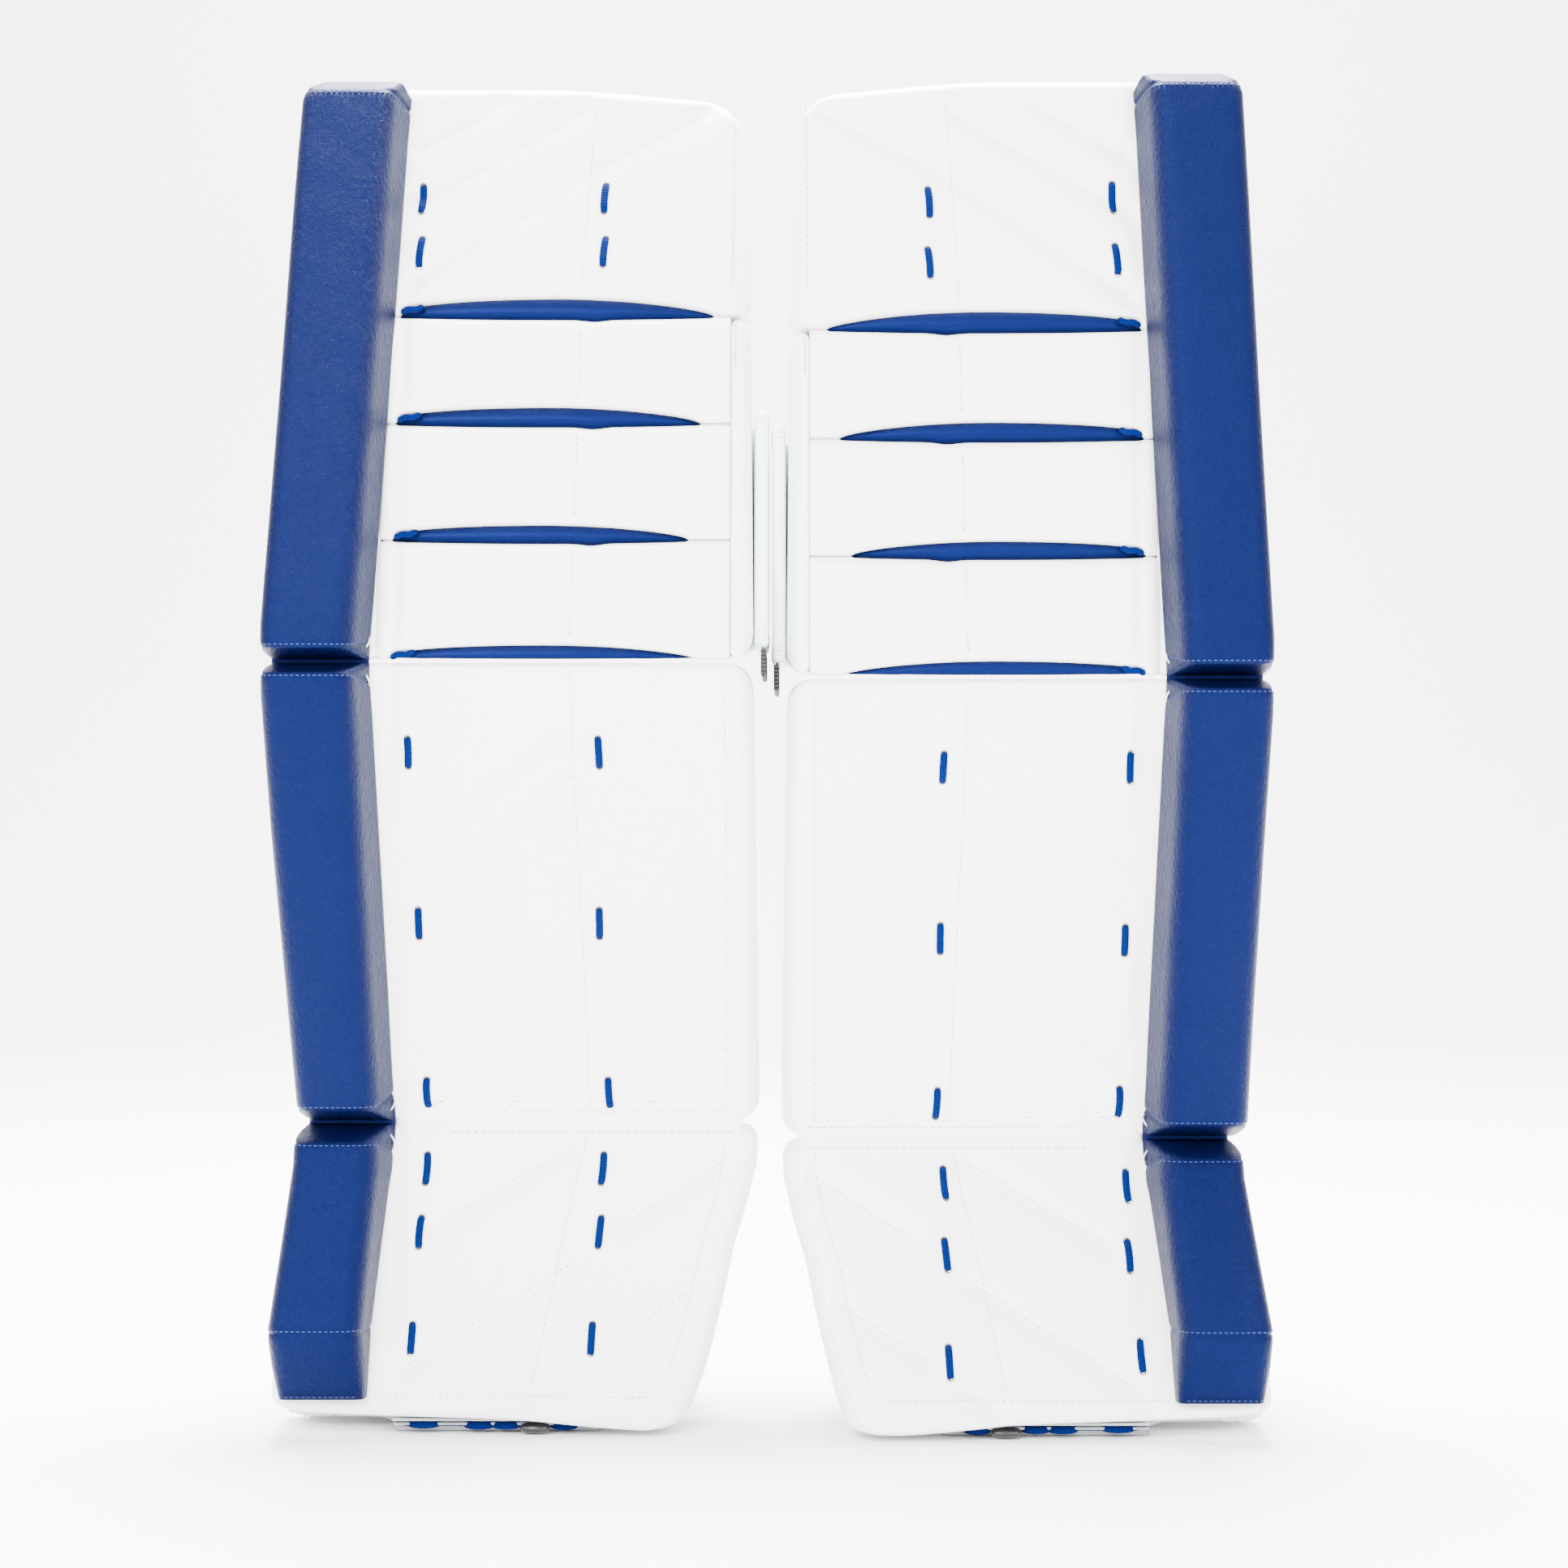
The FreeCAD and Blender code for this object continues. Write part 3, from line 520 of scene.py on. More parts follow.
def blue_inset(settings):
    look = Finish("blue_inset")
    crease = look.noise(0.002, 4.0, look.stretch((0.4, 1.0, 1.0)))
    tone = look.blend(look.noise(0.02, 2.0), rgba((0.0005, 0.0025, 0.026)), rgba((0.0008, 0.0035, 0.036)))
    normal = look.bump(crease, 0.25, 0.0004)
    return look.shade(Base_Color=tone, Roughness=0.36 + 0.15 * crease, Normal=normal,
                      Specular_IOR_Level=0.3, Specular_Tint=BLUE_GLOSS)


def braid(name, dark, light, size):
    """Round braided cord: two sets of slanting strands that cross."""
    look = Finish(name)
    parts = look.node("ShaderNodeSeparateXYZ", {}, {0: look.place()}, "X")
    upward = Value(look, parts.socket.node.outputs["Z"])
    one = look.math("SINE", (parts + upward) * (math.pi / size), 0)
    two = look.math("SINE", (parts - upward) * (math.pi / size), 0)
    weave = one * two
    strand = 0.5 + 0.5 * weave
    tone = look.blend(strand, rgba(dark), rgba(light))
    fuzz = look.noise(0.0006, 3.0)
    normal = look.bump(strand, 0.7, 0.0006)
    normal = look.bump(fuzz, 0.3, 0.0002, normal)
    return look.shade(Base_Color=tone, Roughness=0.62 + 0.2 * fuzz, Normal=normal,
                      Specular_IOR_Level=0.1, Specular_Tint=(0.1, 0.25, 1.0, 1.0))


def blue_lace(settings):
    return braid("blue_lace", [c * 0.55 for c in settings.lace], settings.lace, 0.0016)


def thread(name, colour):
    look = Finish(name)
    twist = look.noise(0.0005, 2.0)
    tone = look.blend(twist, rgba([c * 0.85 for c in colour]), rgba(colour))
    return look.shade(Base_Color=tone, Roughness=0.55, Normal=look.bump(twist, 0.4, 0.0002))


def white_thread(settings):
    return thread("white_thread", (0.46, 0.44, 0.39))


def blue_thread(settings):
    return thread("blue_thread", (0.012, 0.035, 0.20))


def grey_thread(settings):
    return thread("grey_thread", (0.16, 0.16, 0.17))


def white_piping(settings):
    return thread("white_piping", (0.80, 0.82, 0.86))


# Painted shadow: near-black colour for the flat disc inside each eyelet, standing in for the shade down the
# hole.
def dark_hole(settings):
    look = Finish("dark_hole")
    tone = look.blend(look.noise(0.002), rgba((0.015, 0.016, 0.02)), rgba((0.05, 0.05, 0.055)))
    return look.shade(Base_Color=tone, Roughness=0.8)


def plastic(name, colour, rough, grain):
    look = Finish(name)
    speck = look.noise(0.0015, 4.0)
    tone = look.blend(look.noise(0.02), rgba(colour), rgba([c * 1.18 + 0.004 for c in colour]))
    normal = look.bump(speck, grain, 0.0003)
    return look.shade(Base_Color=tone, Roughness=rough + 0.12 * speck, Normal=normal)


def grey_plate(settings):
    return plastic("grey_plate", (0.30, 0.31, 0.335), 0.42, 0.25)


def black_plastic(settings):
    return plastic("black_plastic", (0.006, 0.006, 0.007), 0.16, 0.05)


def white_board(settings):
    return plastic("white_board", (0.80, 0.80, 0.79), 0.4, 0.2)


def foam(settings):
    look = Finish("foam")
    pores = look.cells(0.0016)
    tone = look.blend(pores, rgba((0.70, 0.70, 0.66)), rgba((0.86, 0.86, 0.82)))
    return look.shade(Base_Color=tone, Roughness=0.9, Normal=look.bump(pores, 0.6, 0.0005))


def webbing(name, colour, rib, stretch):
    """Woven band with ribs across it and a fine weave along it."""
    look = Finish(name)
    parts = look.node("ShaderNodeSeparateXYZ", {}, {0: look.place()}, "X")
    upward = Value(look, parts.socket.node.outputs["Z"])
    backward = Value(look, parts.socket.node.outputs["Y"])
    ribs = 0.5 + 0.5 * look.math("SINE", (parts + backward) * (2 * math.pi / rib), 0)
    weft = 0.5 + 0.5 * look.math("SINE", upward * (2 * math.pi / stretch), 0)
    tone = look.blend(ribs * 0.6 + weft * 0.4, rgba([c * 0.4 for c in colour]), rgba(colour))
    normal = look.bump(ribs, 0.6, 0.0007)
    normal = look.bump(weft, 0.4, 0.0003, normal)
    return look.shade(Base_Color=tone, Roughness=0.75, Normal=normal, Specular_IOR_Level=0.2)


def black_webbing(settings):
    return webbing("black_webbing", (0.022, 0.022, 0.025), 0.0022, 0.0012)


def black_elastic(settings):
    look = Finish("black_elastic")
    parts = look.node("ShaderNodeSeparateXYZ", {}, {0: look.place()}, "Z")
    ribs = 0.5 + 0.5 * look.math("SINE", parts * (2 * math.pi / 0.0021), 0)
    tone = look.blend(ribs, rgba((0.003, 0.003, 0.004)), rgba((0.035, 0.035, 0.037)))
    return look.shade(Base_Color=tone, Roughness=0.7, Specular_IOR_Level=0.2,
                      Normal=look.bump(ribs, 0.8, 0.0008))


def dark_lining(settings):
    look = Finish("dark_lining")
    place = look.place()
    warp = look.cells(0.0022, place)
    wave = look.noise(0.03, 2.0)
    tone = look.blend(warp, rgba((0.006, 0.009, 0.026)), rgba((0.016, 0.021, 0.05)))
    normal = look.bump(warp, 0.5, 0.0005)
    normal = look.bump(wave, 0.3, 0.002, normal)
    return look.shade(Base_Color=tone, Roughness=0.82, Normal=normal, Specular_IOR_Level=0.15,
                      Sheen_Weight=0.03)


def pale_floor(settings):
    look = Finish("pale_floor")
    tone = look.blend(look.noise(0.5), rgba((0.93, 0.93, 0.93)), rgba((0.95, 0.95, 0.95)))
    return look.shade(Base_Color=tone, Roughness=0.9)


MAKERS = {maker.__name__: maker for maker in (
    white_leather, slick_side, blue_leather, blue_inset, blue_lace, white_thread, blue_thread,
    grey_thread, white_piping, dark_hole, grey_plate, black_plastic, white_board, foam, black_webbing,
    black_elastic, dark_lining, pale_floor)}


# ------------------------------------------------------------------ sewn faces
# Seams of each section as (x, height) pairs in millimetres. Heights are above the knee break
# for the thigh and the shin, and above the boot break for the boot.
CENTRE_SEAM = {
    "thigh": ((105.5, 192), (97.5, 322)),
    "knee": ((108, 0), (105.5, 100), (104, 192)),
    "shin": ((108, 0), (106, -60), (101.5, -170), (99, -253)),
    "boot": ((99, 0), (111, -52), (129, -141)),
}
SOFT_CHANNELS = {
    "thigh": (((196, 292), (149.5, 318)), ((205, 255), (180, 269), (104, 314)), ((201, 210), (103, 276)),
              ((95, 281), (31.5, 314))),
    "shin": (),
    "boot": (((197, -129), (106, -74)), ((184, -56), (109, -14)), ((77, -53), (26, -22)),
             ((85, -115), (37, -86)), ((126, -142), (106, -129))),
}
STITCHED_BANDS = {
    "thigh": (),
    "shin": (((204, -105), (109, -35)), ((197, -126), (109, -59)), ((196, -213), (105, -149)),
             ((192, -250), (104, -198))),
    "boot": (),
}
STITCHED_LINES = {
    "thigh": (),
    "shin": (((177, -229), (105, -179.5)), ((160, -252), (104, -221)), ((98, -171), (22, -117)),
             ((72, -245), (21, -210))),
    "boot": (((197, -129), (106, -74)), ((184, -56), (109, -14)), ((77, -53), (26, -22)),
             ((85, -115), (37, -86))),
}
BAND_GAP = 5


def seam_runs(part):
    """Every stitched seam of a section as (points, kind) in metres."""
    runs = [(CENTRE_SEAM[part], "centre")]
    for band in STITCHED_BANDS.get(part, ()):
        (ax, az), (bx, bz) = band
        length = math.hypot(bx - ax, bz - az)
        dx, dz = (bz - az) / length * BAND_GAP / 2, (ax - bx) / length * BAND_GAP / 2
        runs.append((((ax + dx, az + dz), (bx + dx, bz + dz)), "line"))
        runs.append((((ax - dx, az - dz), (bx - dx, bz - dz)), "line"))
    runs += [(line, "line") for line in STITCHED_LINES.get(part, ())]
    runs += [(line, "soft") for line in SOFT_CHANNELS.get(part, ())]
    return [([(x * MM, z * MM) for x, z in run], kind) for run, kind in runs]


def relief(part, base, shape):
    """The front's swell at (x, z): foam that stands up between seams that pull it down."""
    grooves = {"centre": (0.7 * MM, 2.0 * MM), "line": (shape.seam_depth, 2.1 * MM),
               "soft": (shape.channel_depth, 6.0 * MM)}
    runs = seam_runs(part)

    def swell(x, z):
        height = z - base
        nearest = np.full(np.broadcast(x, z).shape, 1.0)
        cut = np.zeros(nearest.shape)
        pucker = 1 + 1.3 * np.exp(-((x - 204 * MM) / (11 * MM)) ** 2)
        for run, kind in runs:
            depth, width = grooves[kind]
            for start, end in zip(run, run[1:]):
                away = distance(x, height, start, end)
                cut = np.maximum(cut, depth * pucker * np.exp(-(away / width) ** 2))
                if kind != "centre":
                    nearest = np.minimum(nearest, away)
        puff = shape.puff * (1 - np.exp(-nearest / (14 * MM)))
        waves = 0.25 * MM * ripple(x, z, 40 * MM, 3) + 0.10 * MM * ripple(x, z, 13 * MM, 5)
        beside_roll = ease(195 * MM, 206 * MM, x)
        return (puff - cut + waves) * (1 - beside_roll) - 0.7 * MM * beside_roll

    return swell


def resample(points, step):
    """Points along a polyline, about a step apart."""
    points = np.asarray(points, float)
    length = np.linalg.norm(np.diff(points, axis=0), axis=1).sum()
    return spread_out(points, max(2, int(length / step) + 1))


def sew(surface, pad, part, frame_part, base, swell, shape, limits):
    """Stitches along every hard seam of a section's front."""
    low, high = limits
    rows = []
    for run, kind in seam_runs(part):
        if kind == "soft":
            continue
        rows.append(run)
    heights = np.linspace(max(low, 30 * MM), high, 30)
    rows.append([(float(pad.seam(z)), z - base) for z in heights])
    for run in rows:
        line = resample(run, 2 * MM)
        keep = (line[:, 1] + base > low + 2 * MM) & (line[:, 1] + base < high - 2 * MM)
        line = line[keep]
        if len(line) < 3:
            continue
        x, z = line[:, 0], line[:, 1] + base
        points = pad.place(x, -swell(x, z) - 0.05 * MM, z, frame_part)
        surface.stitches(points, shape.stitch_pitch, shape.stitch_length, shape.thread)


def settle(piece, body, replaces=()):
    """Rides a piece on its body and hides the nodes that it stands for."""
    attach(piece, body)
    return declare(piece, replaces)


def declare(piece, replaces=()):
    if replaces:
        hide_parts(*replaces)
    return piece


def medial_looks(loop):
    """Look 1 for the columns of a slab's loop on its medial side, and 0 for the others."""
    share_x, shift_x, share_d, _ = loop
    return [int(x == 0 and shift < 9 * MM and d <= 1) for x, shift, d in zip(share_x, shift_x, share_d)]


COVER_CORNERS = ((14 * MM, 15 * MM), (5 * MM, 5 * MM), (8 * MM, 8 * MM), (10 * MM, 10 * MM))
GUSSET_CORNERS = ((9 * MM, 14 * MM), (2 * MM, 1.5 * MM), (5 * MM, 5 * MM), (10 * MM, 10 * MM))


def cover_slab(surface, pad, part, edges, ends, depths, swell, shape, rounding, corners=COVER_CORNERS):
    """Adds one padded slab whose medial side has its own finish."""
    near, far = depths
    length = float(ends[1](0.14, near) - ends[0](0.14, near))
    inner, outer = edges(pad.knee)
    counts = (max(8, int((outer - inner) / shape.spacing)), 12, 7, max(12, int(length / shape.spacing)))
    rings = slab(pad, part, edges, ends, near, far, swell, rounding, corners, counts)
    surface.rings(rings, looks=medial_looks(slab_loop(corners, counts[:3])))


def foam_core(surface, pad, part, edges, ends, depths):
    """Adds the foam inside a slab, a little smaller all round."""
    inset = 3.6 * MM
    near, far = depths
    corners = ((11 * MM, 12 * MM), (5 * MM, 5 * MM), (6 * MM, 6 * MM), (7 * MM, 7 * MM))

    def limits(z):
        inner, outer = edges(z)
        return inner + inset, outer - inset

    def low(x, depth):
        return ends[0](x, depth) + inset

    def high(x, depth):
        return ends[1](x, depth) - inset

    rings = slab(pad, part, limits, (low, high), near + inset, far - inset, lambda x, z: 0 * x * z, 5 * MM,
                 corners, (24, 8, 4, 24))
    surface.rings(rings)


def build_core(pad, part, surface):
    core = surface.build(pad.name(f"{part}_foam"), [finish("foam")])
    settle(core, pad.name(part), [pad.name(f"{part}_core")])


def build_cover(pad, part, surface, threads):
    """Makes a section's cover and its stitching."""
    cover = surface.build(pad.name(f"{part}_skin"), [finish("white_leather"), finish("slick_side")])
    settle(cover, pad.name(part), [pad.name(f"{part}_cover")])
    stitching = threads.build(pad.name(f"{part}_stitching"), [finish("white_thread")])
    settle(stitching, pad.name(part))


def corner_drop(x, edge, reach, drop):
    """How far a medial corner is rounded away at x, out of drop at the very edge."""
    away = np.clip((edge + reach - x) / reach, 0, 1)
    return drop * (1 - np.sqrt(1 - 0.98 * away ** 2))


TOE_HEM = table((0, 5), (70, 3.6), (93, 4.8), (129, 8.2), (155, 9.5), (204, 11), (245, 12.5), (265, 15))


def build_boot(pad, shape):
    surface, threads = Surface(), Surface()
    base = pad.ankle
    swell = relief("boot", base, shape)

    def low(x, depth):
        slope = SOLE_RISE + 0.4 * MM - 7 * MM * depth / (36 * MM)
        plain = np.interp(x, *TOE_HEM) + 0.3 * MM
        above_bridge = plain + np.maximum(slope - plain, 0) * ease(84 * MM, 92 * MM, x)
        raised = 4.5 * MM * ease(200 * MM, 220 * MM, x)
        behind = above_bridge * (1 - ease(36 * MM, 42 * MM, depth)) + 0.2 * MM
        behind = np.maximum(behind, raised * (1 - ease(55 * MM, 60 * MM, depth)))
        hem = np.interp(x, *TOE_HEM)
        return hem + (behind - hem) * ease(4.5 * MM, 7 * MM, depth)

    def high(x, depth):
        return base - 0.3 * MM - 8 * MM * depth / DEPTH - corner_drop(x, 6 * MM, 12 * MM, 6 * MM)

    def edges(z):
        return pad.medial(z), pad.lateral(z)

    cover_slab(surface, pad, "boot", edges, (low, high), (0, DEPTH), swell, shape, 7 * MM)
    core = Surface()
    foam_core(core, pad, "boot", edges, (lambda x, depth: low(x, depth) + 6 * MM, high), (0, DEPTH))
    build_core(pad, "boot", core)
    sew(threads, pad, "boot", "boot", base, swell, shape, (24 * MM, base - 1 * MM))
    x = np.linspace(64 * MM, 214 * MM, 60)
    z = np.full(60, 22 * MM)
    threads.stitches(pad.place(x, -swell(x, z), z, "boot"), shape.stitch_pitch, shape.stitch_length,
                     shape.thread)
    build_cover(pad, "boot", surface, threads)


def build_shin(pad, shape):
    surface, threads = Surface(), Surface()
    swell = relief("shin", pad.knee, shape)

    def low(x, depth):
        return pad.ankle + 0.3 * MM + 8 * MM * depth / DEPTH + corner_drop(x, 6 * MM, 12 * MM, 6 * MM)

    def high(x, depth):
        return pad.knee - 0.4 * MM - 6 * MM * depth / DEPTH - corner_drop(x, 9 * MM, 14 * MM, 10 * MM)

    def edges(z):
        return pad.medial(z), pad.lateral(z)

    cover_slab(surface, pad, "shin", edges, (low, high), (0, DEPTH), swell, shape, 5 * MM)
    core, board = Surface(), Surface()
    foam_core(core, pad, "shin", edges, (low, high), (3.2 * MM, DEPTH))
    build_core(pad, "shin", core)
    heights = np.linspace(pad.ankle + 8 * MM, pad.knee - 12 * MM, 12)
    board.rings(np.array([[pad.place(x, depth, z, "shin") for x, depth in
                           ((pad.medial(z) + 13 * MM, 4.2 * MM), (pad.lateral(z) - 8 * MM, 4.2 * MM),
                            (pad.lateral(z) - 8 * MM, 6.2 * MM), (pad.medial(z) + 13 * MM, 6.2 * MM))]
                          for z in heights]))
    sheet = board.build(pad.name("shin_board"), [finish("white_board")])
    settle(sheet, pad.name("shin"), [pad.name("shin_stiffener")])
    sew(threads, pad, "shin", "shin", pad.knee, swell, shape, (pad.ankle + 2 * MM, pad.knee - 4 * MM))
    build_cover(pad, "shin", surface, threads)


def slot_share(x, index):
    """0 at a slot's medial tip and 1 at its lateral end."""
    return np.clip((x - SLOT_STARTS[index]) / (SLOT_END - SLOT_STARTS[index]), 0, 1)


def slot_roof(pad, x, index):
    """Height of a slot's upper edge: it rises slowly from the medial tip and ends bluntly."""
    share = slot_share(x, index)
    rise = np.sin(math.pi * np.clip(share, 0, 0.5)) ** 0.62 * np.sin(math.pi * np.clip(share, 0.5, 1)) ** 0.3
    return pad.knee + CREASES[index] + ARCHES[index] * rise


def slot_floor(pad, x, index):
    """Height of a slot's lower edge, which dips beside the centre seam."""
    share = slot_share(x, index)
    sag = 1.3 * MM * np.sin(math.pi * share) ** 0.7
    dip = 1.1 * MM * np.exp(-((x - 97 * MM) / (7 * MM)) ** 2)
    return pad.knee + CREASES[index] - (sag + dip) * (index > 0)


def slot_gap(x, index):
    """Clearance at a slot's edges: the padding meets beyond the ends of the slot."""
    share = (x - SLOT_STARTS[index]) / (SLOT_END - SLOT_STARTS[index])
    return np.where((share > 0) & (share < 1), 0.3 * MM, -0.4 * MM)


def build_thigh(pad, shape):
    surface, threads = Surface(), Surface()
    swell = relief("thigh", pad.knee, shape)
    crease = pad.knee + CREASES[3]

    def flat(x, z):
        return 0 * x * z

    def edges(z):
        return pad.medial(z), pad.lateral(z)

    def low(x, depth):
        beside = ease(206 * MM, 214 * MM, x) * 3 * MM
        arch = slot_roof(pad, x, 3) - crease + slot_gap(x, 3) - beside
        drop = corner_drop(x, 10 * MM, 14 * MM, 6 * MM)
        return crease + 0.2 * MM + arch * (1 - ease(20 * MM, 31 * MM, depth)) + drop

    def high(x, depth):
        slope = 10 * MM * (1 - ease(-20 * MM, 130 * MM, x))
        return pad.top - 1 * MM - slope - corner_drop(x, 12 * MM, 26 * MM, 26 * MM) + 0 * depth

    cover_slab(surface, pad, "thigh", edges, (low, high), (0, DEPTH), swell, shape, 6 * MM)
    core = Surface()
    foam_core(core, pad, "thigh", edges, (low, high), (0, DEPTH))

    def back_low(x, depth):
        return pad.knee + 0.4 * MM + 6 * MM * depth / DEPTH + corner_drop(x, 9 * MM, 14 * MM, 10 * MM)

    def back_high(x, depth):
        return crease + 0 * x * depth

    def gusset_high(x, depth):
        return crease - 0.5 * MM - corner_drop(x, 9 * MM, 14 * MM, 8 * MM) + 0 * depth

    foam_core(core, pad, "thigh", edges, (back_low, lambda x, depth: back_high(x, depth) - 2 * MM),
              (32 * MM, DEPTH))
    build_core(pad, "thigh", core)
    back = (edges, (back_low, back_high), (32 * MM, DEPTH), flat, shape, 6 * MM)
    cover_slab(surface, pad, "thigh", *back)
    gusset = (lambda z: (pad.medial(z), GUSSET), (back_low, gusset_high), (0, DEPTH), flat, shape, 6 * MM)
    cover_slab(surface, pad, "thigh", *gusset, corners=GUSSET_CORNERS)
    flank = (lambda z: (212 * MM, pad.lateral(z)), (back_low, back_high), (2 * MM, 33 * MM), flat, shape,
             4 * MM)
    cover_slab(surface, pad, "thigh", *flank, corners=((4 * MM, 4 * MM),) * 4)

    limits = (crease + 12 * MM, pad.top - 12 * MM)
    sew(threads, pad, "thigh", "thigh", pad.knee, swell, shape, limits)
    z = np.linspace(pad.knee + 12 * MM, crease - 9 * MM, 60)
    x = pad.seam(z) + 1.5 * MM
    threads.stitches(pad.place(x, 0 * x - 0.1 * MM, z, "thigh"), shape.stitch_pitch, shape.stitch_length,
                     shape.thread)
    build_cover(pad, "thigh", surface, threads)


def build_knee_rolls(pad, shape):
    """Three padded bars whose lower edges arch up over the slots between them."""
    surface, threads = Surface(), Surface()
    waves = relief("knee", pad.knee, shape)
    inner, outer = GUSSET + 0.2 * MM, 216 * MM
    end_radius = 10 * MM
    edge = 5.5 * MM
    turn = np.sin(np.linspace(0.12, 1.52, 10))
    stations = np.concatenate([np.linspace(inner, outer - end_radius, int(170 * MM / shape.spacing)),
                               outer - end_radius * (1 - turn)])
    for index in range(3):
        rings = []
        for x in stations:
            end = max(0.0, (x - outer + end_radius) / end_radius)
            away = 1 - math.sqrt(max(0.0, 1 - end * end))
            gap = float(slot_gap(x, index)) if index else 0.3 * MM
            bottom = float(slot_roof(pad, x, index)) + gap + 2.5 * MM * away
            top = float(slot_floor(pad, x, index + 1)) - float(slot_gap(x, index + 1)) - 2.5 * MM * away
            front = 14 * MM * away
            start = max(0.0, 1 - (x - inner) / (5 * MM))
            front += 0.7 * MM * start * start
            corners = ((25 * MM, bottom + 2 * MM), (front, bottom), (front, top), (25 * MM, top - 2 * MM))
            line = rounded(corners, (edge, edge), 84)
            depth, z = line[:, 0], line[:, 1]
            level = np.clip((z - bottom) / (top - bottom), 0, 1)
            full = 1.3 * MM * np.sin(math.pi * level) ** 0.7 * (1 - away)
            facing = np.clip(1 - (depth - front) / edge, 0, 1)
            swell = waves(np.full(len(z), x), z)
            depth = depth - (full + swell * (x < 200 * MM)) * facing
            rings.append(pad.place(np.full(len(z), x), depth, z, "thigh"))
        surface.rings(np.array(rings))
        bottom = pad.knee + CREASES[index] + ARCHES[index]
        z = np.linspace(bottom + 5 * MM, pad.knee + CREASES[index + 1] - 7 * MM, 20)
        x = np.interp(z - pad.knee, [0, 0.192], [0.108, 0.104])
        points = pad.place(x, -1.3 * MM - waves(x, z), z, "thigh")
        threads.stitches(points, shape.stitch_pitch, shape.stitch_length, shape.thread)
    rolls = surface.build(pad.name("knee_roll_skins"), [finish("white_leather")])
    settle(rolls, pad.name("thigh"), [pad.name("knee_rolls")])
    settle(threads.build(pad.name("knee_stitching"), [finish("white_thread")]), pad.name("thigh"))


def build_knee_base(pad, shape):
    """The blue panel behind the knee rolls, with a padded ridge that fills each slot."""
    surface = Surface()
    angle = np.linspace(0, 2 * math.pi, 24, endpoint=False)
    for index in range(4):
        rings = []
        for x in np.linspace(SLOT_STARTS[index] - 3 * MM, SLOT_END + 5 * MM, 100):
            roof, floor = float(slot_roof(pad, x, index)), float(slot_floor(pad, x, index))
            tall = (roof - floor) / 2 + 1.6 * MM
            middle = (roof + floor) / 2 + 0.5 * MM
            z = middle + tall * np.sin(angle)
            crest = 2.2 * MM + 6 * MM * (1 - float(np.sin(math.pi * slot_share(x, index)) ** 0.5))
            depth = crest + 6 * MM - 6 * MM * np.cos(angle)
            if index == 0:
                z = np.maximum(z, pad.knee + 0.5 * MM + 0.22 * depth)
            rings.append(pad.place(np.full(len(z), x), depth, z, "thigh"))
        surface.rings(np.array(rings))
    corners = []
    for z in (pad.knee + 4 * MM, pad.knee + CREASES[3] + 4 * MM):
        corners.append([pad.place(x, depth, z, "thigh") for x, depth in
                        ((26 * MM, 26 * MM), (211 * MM, 26 * MM), (211 * MM, 31 * MM), (26 * MM, 31 * MM))])
    surface.rings(np.array(corners))
    base = surface.build(pad.name("knee_base_skin"), [finish("blue_inset")])
    settle(base, pad.name("thigh"), [pad.name("knee_base")])


def build_knee_block(pad, shape):
    """A firm block that stands out past the medial edge and reaches back behind the knee."""
    surface, threads = Surface(), Surface()
    low, high = pad.knee + 8.5 * MM, pad.knee + 140.5 * MM
    far = DEPTH + 70 * MM
    surface.rings(pillow(pad, "thigh", (1 * MM, 8.6 * MM), (low, high), (14.5 * MM, far), 3 * MM))
    surface.rings(pillow(pad, "thigh", (8.4 * MM, 45 * MM), (low, high), (DEPTH + 0.5 * MM, far), 6 * MM))
    block = surface.build(pad.name("knee_block_skin"), [finish("slick_side")])
    settle(block, pad.name("thigh"), [pad.name("knee_block")])
    for z in (low + 4 * MM, low + 6.5 * MM, low + 9 * MM, high - 4 * MM, high - 6.5 * MM):
        depth = np.linspace(17 * MM, 120 * MM, 40)
        points = pad.place(np.full(40, 0.9 * MM), depth, np.full(40, z), "thigh")
        threads.stitches(points, 3.2 * MM, 2.2 * MM, 0.5 * MM)
        across = np.linspace(2.5 * MM, 7.5 * MM, 6)
        points = pad.place(across, np.full(6, 13.9 * MM), np.full(6, z), "thigh")
        threads.stitches(points, 2.2 * MM, 1.6 * MM, 0.45 * MM)
    settle(threads.build(pad.name("knee_block_stitching"), [finish("white_thread")]), pad.name("thigh"))


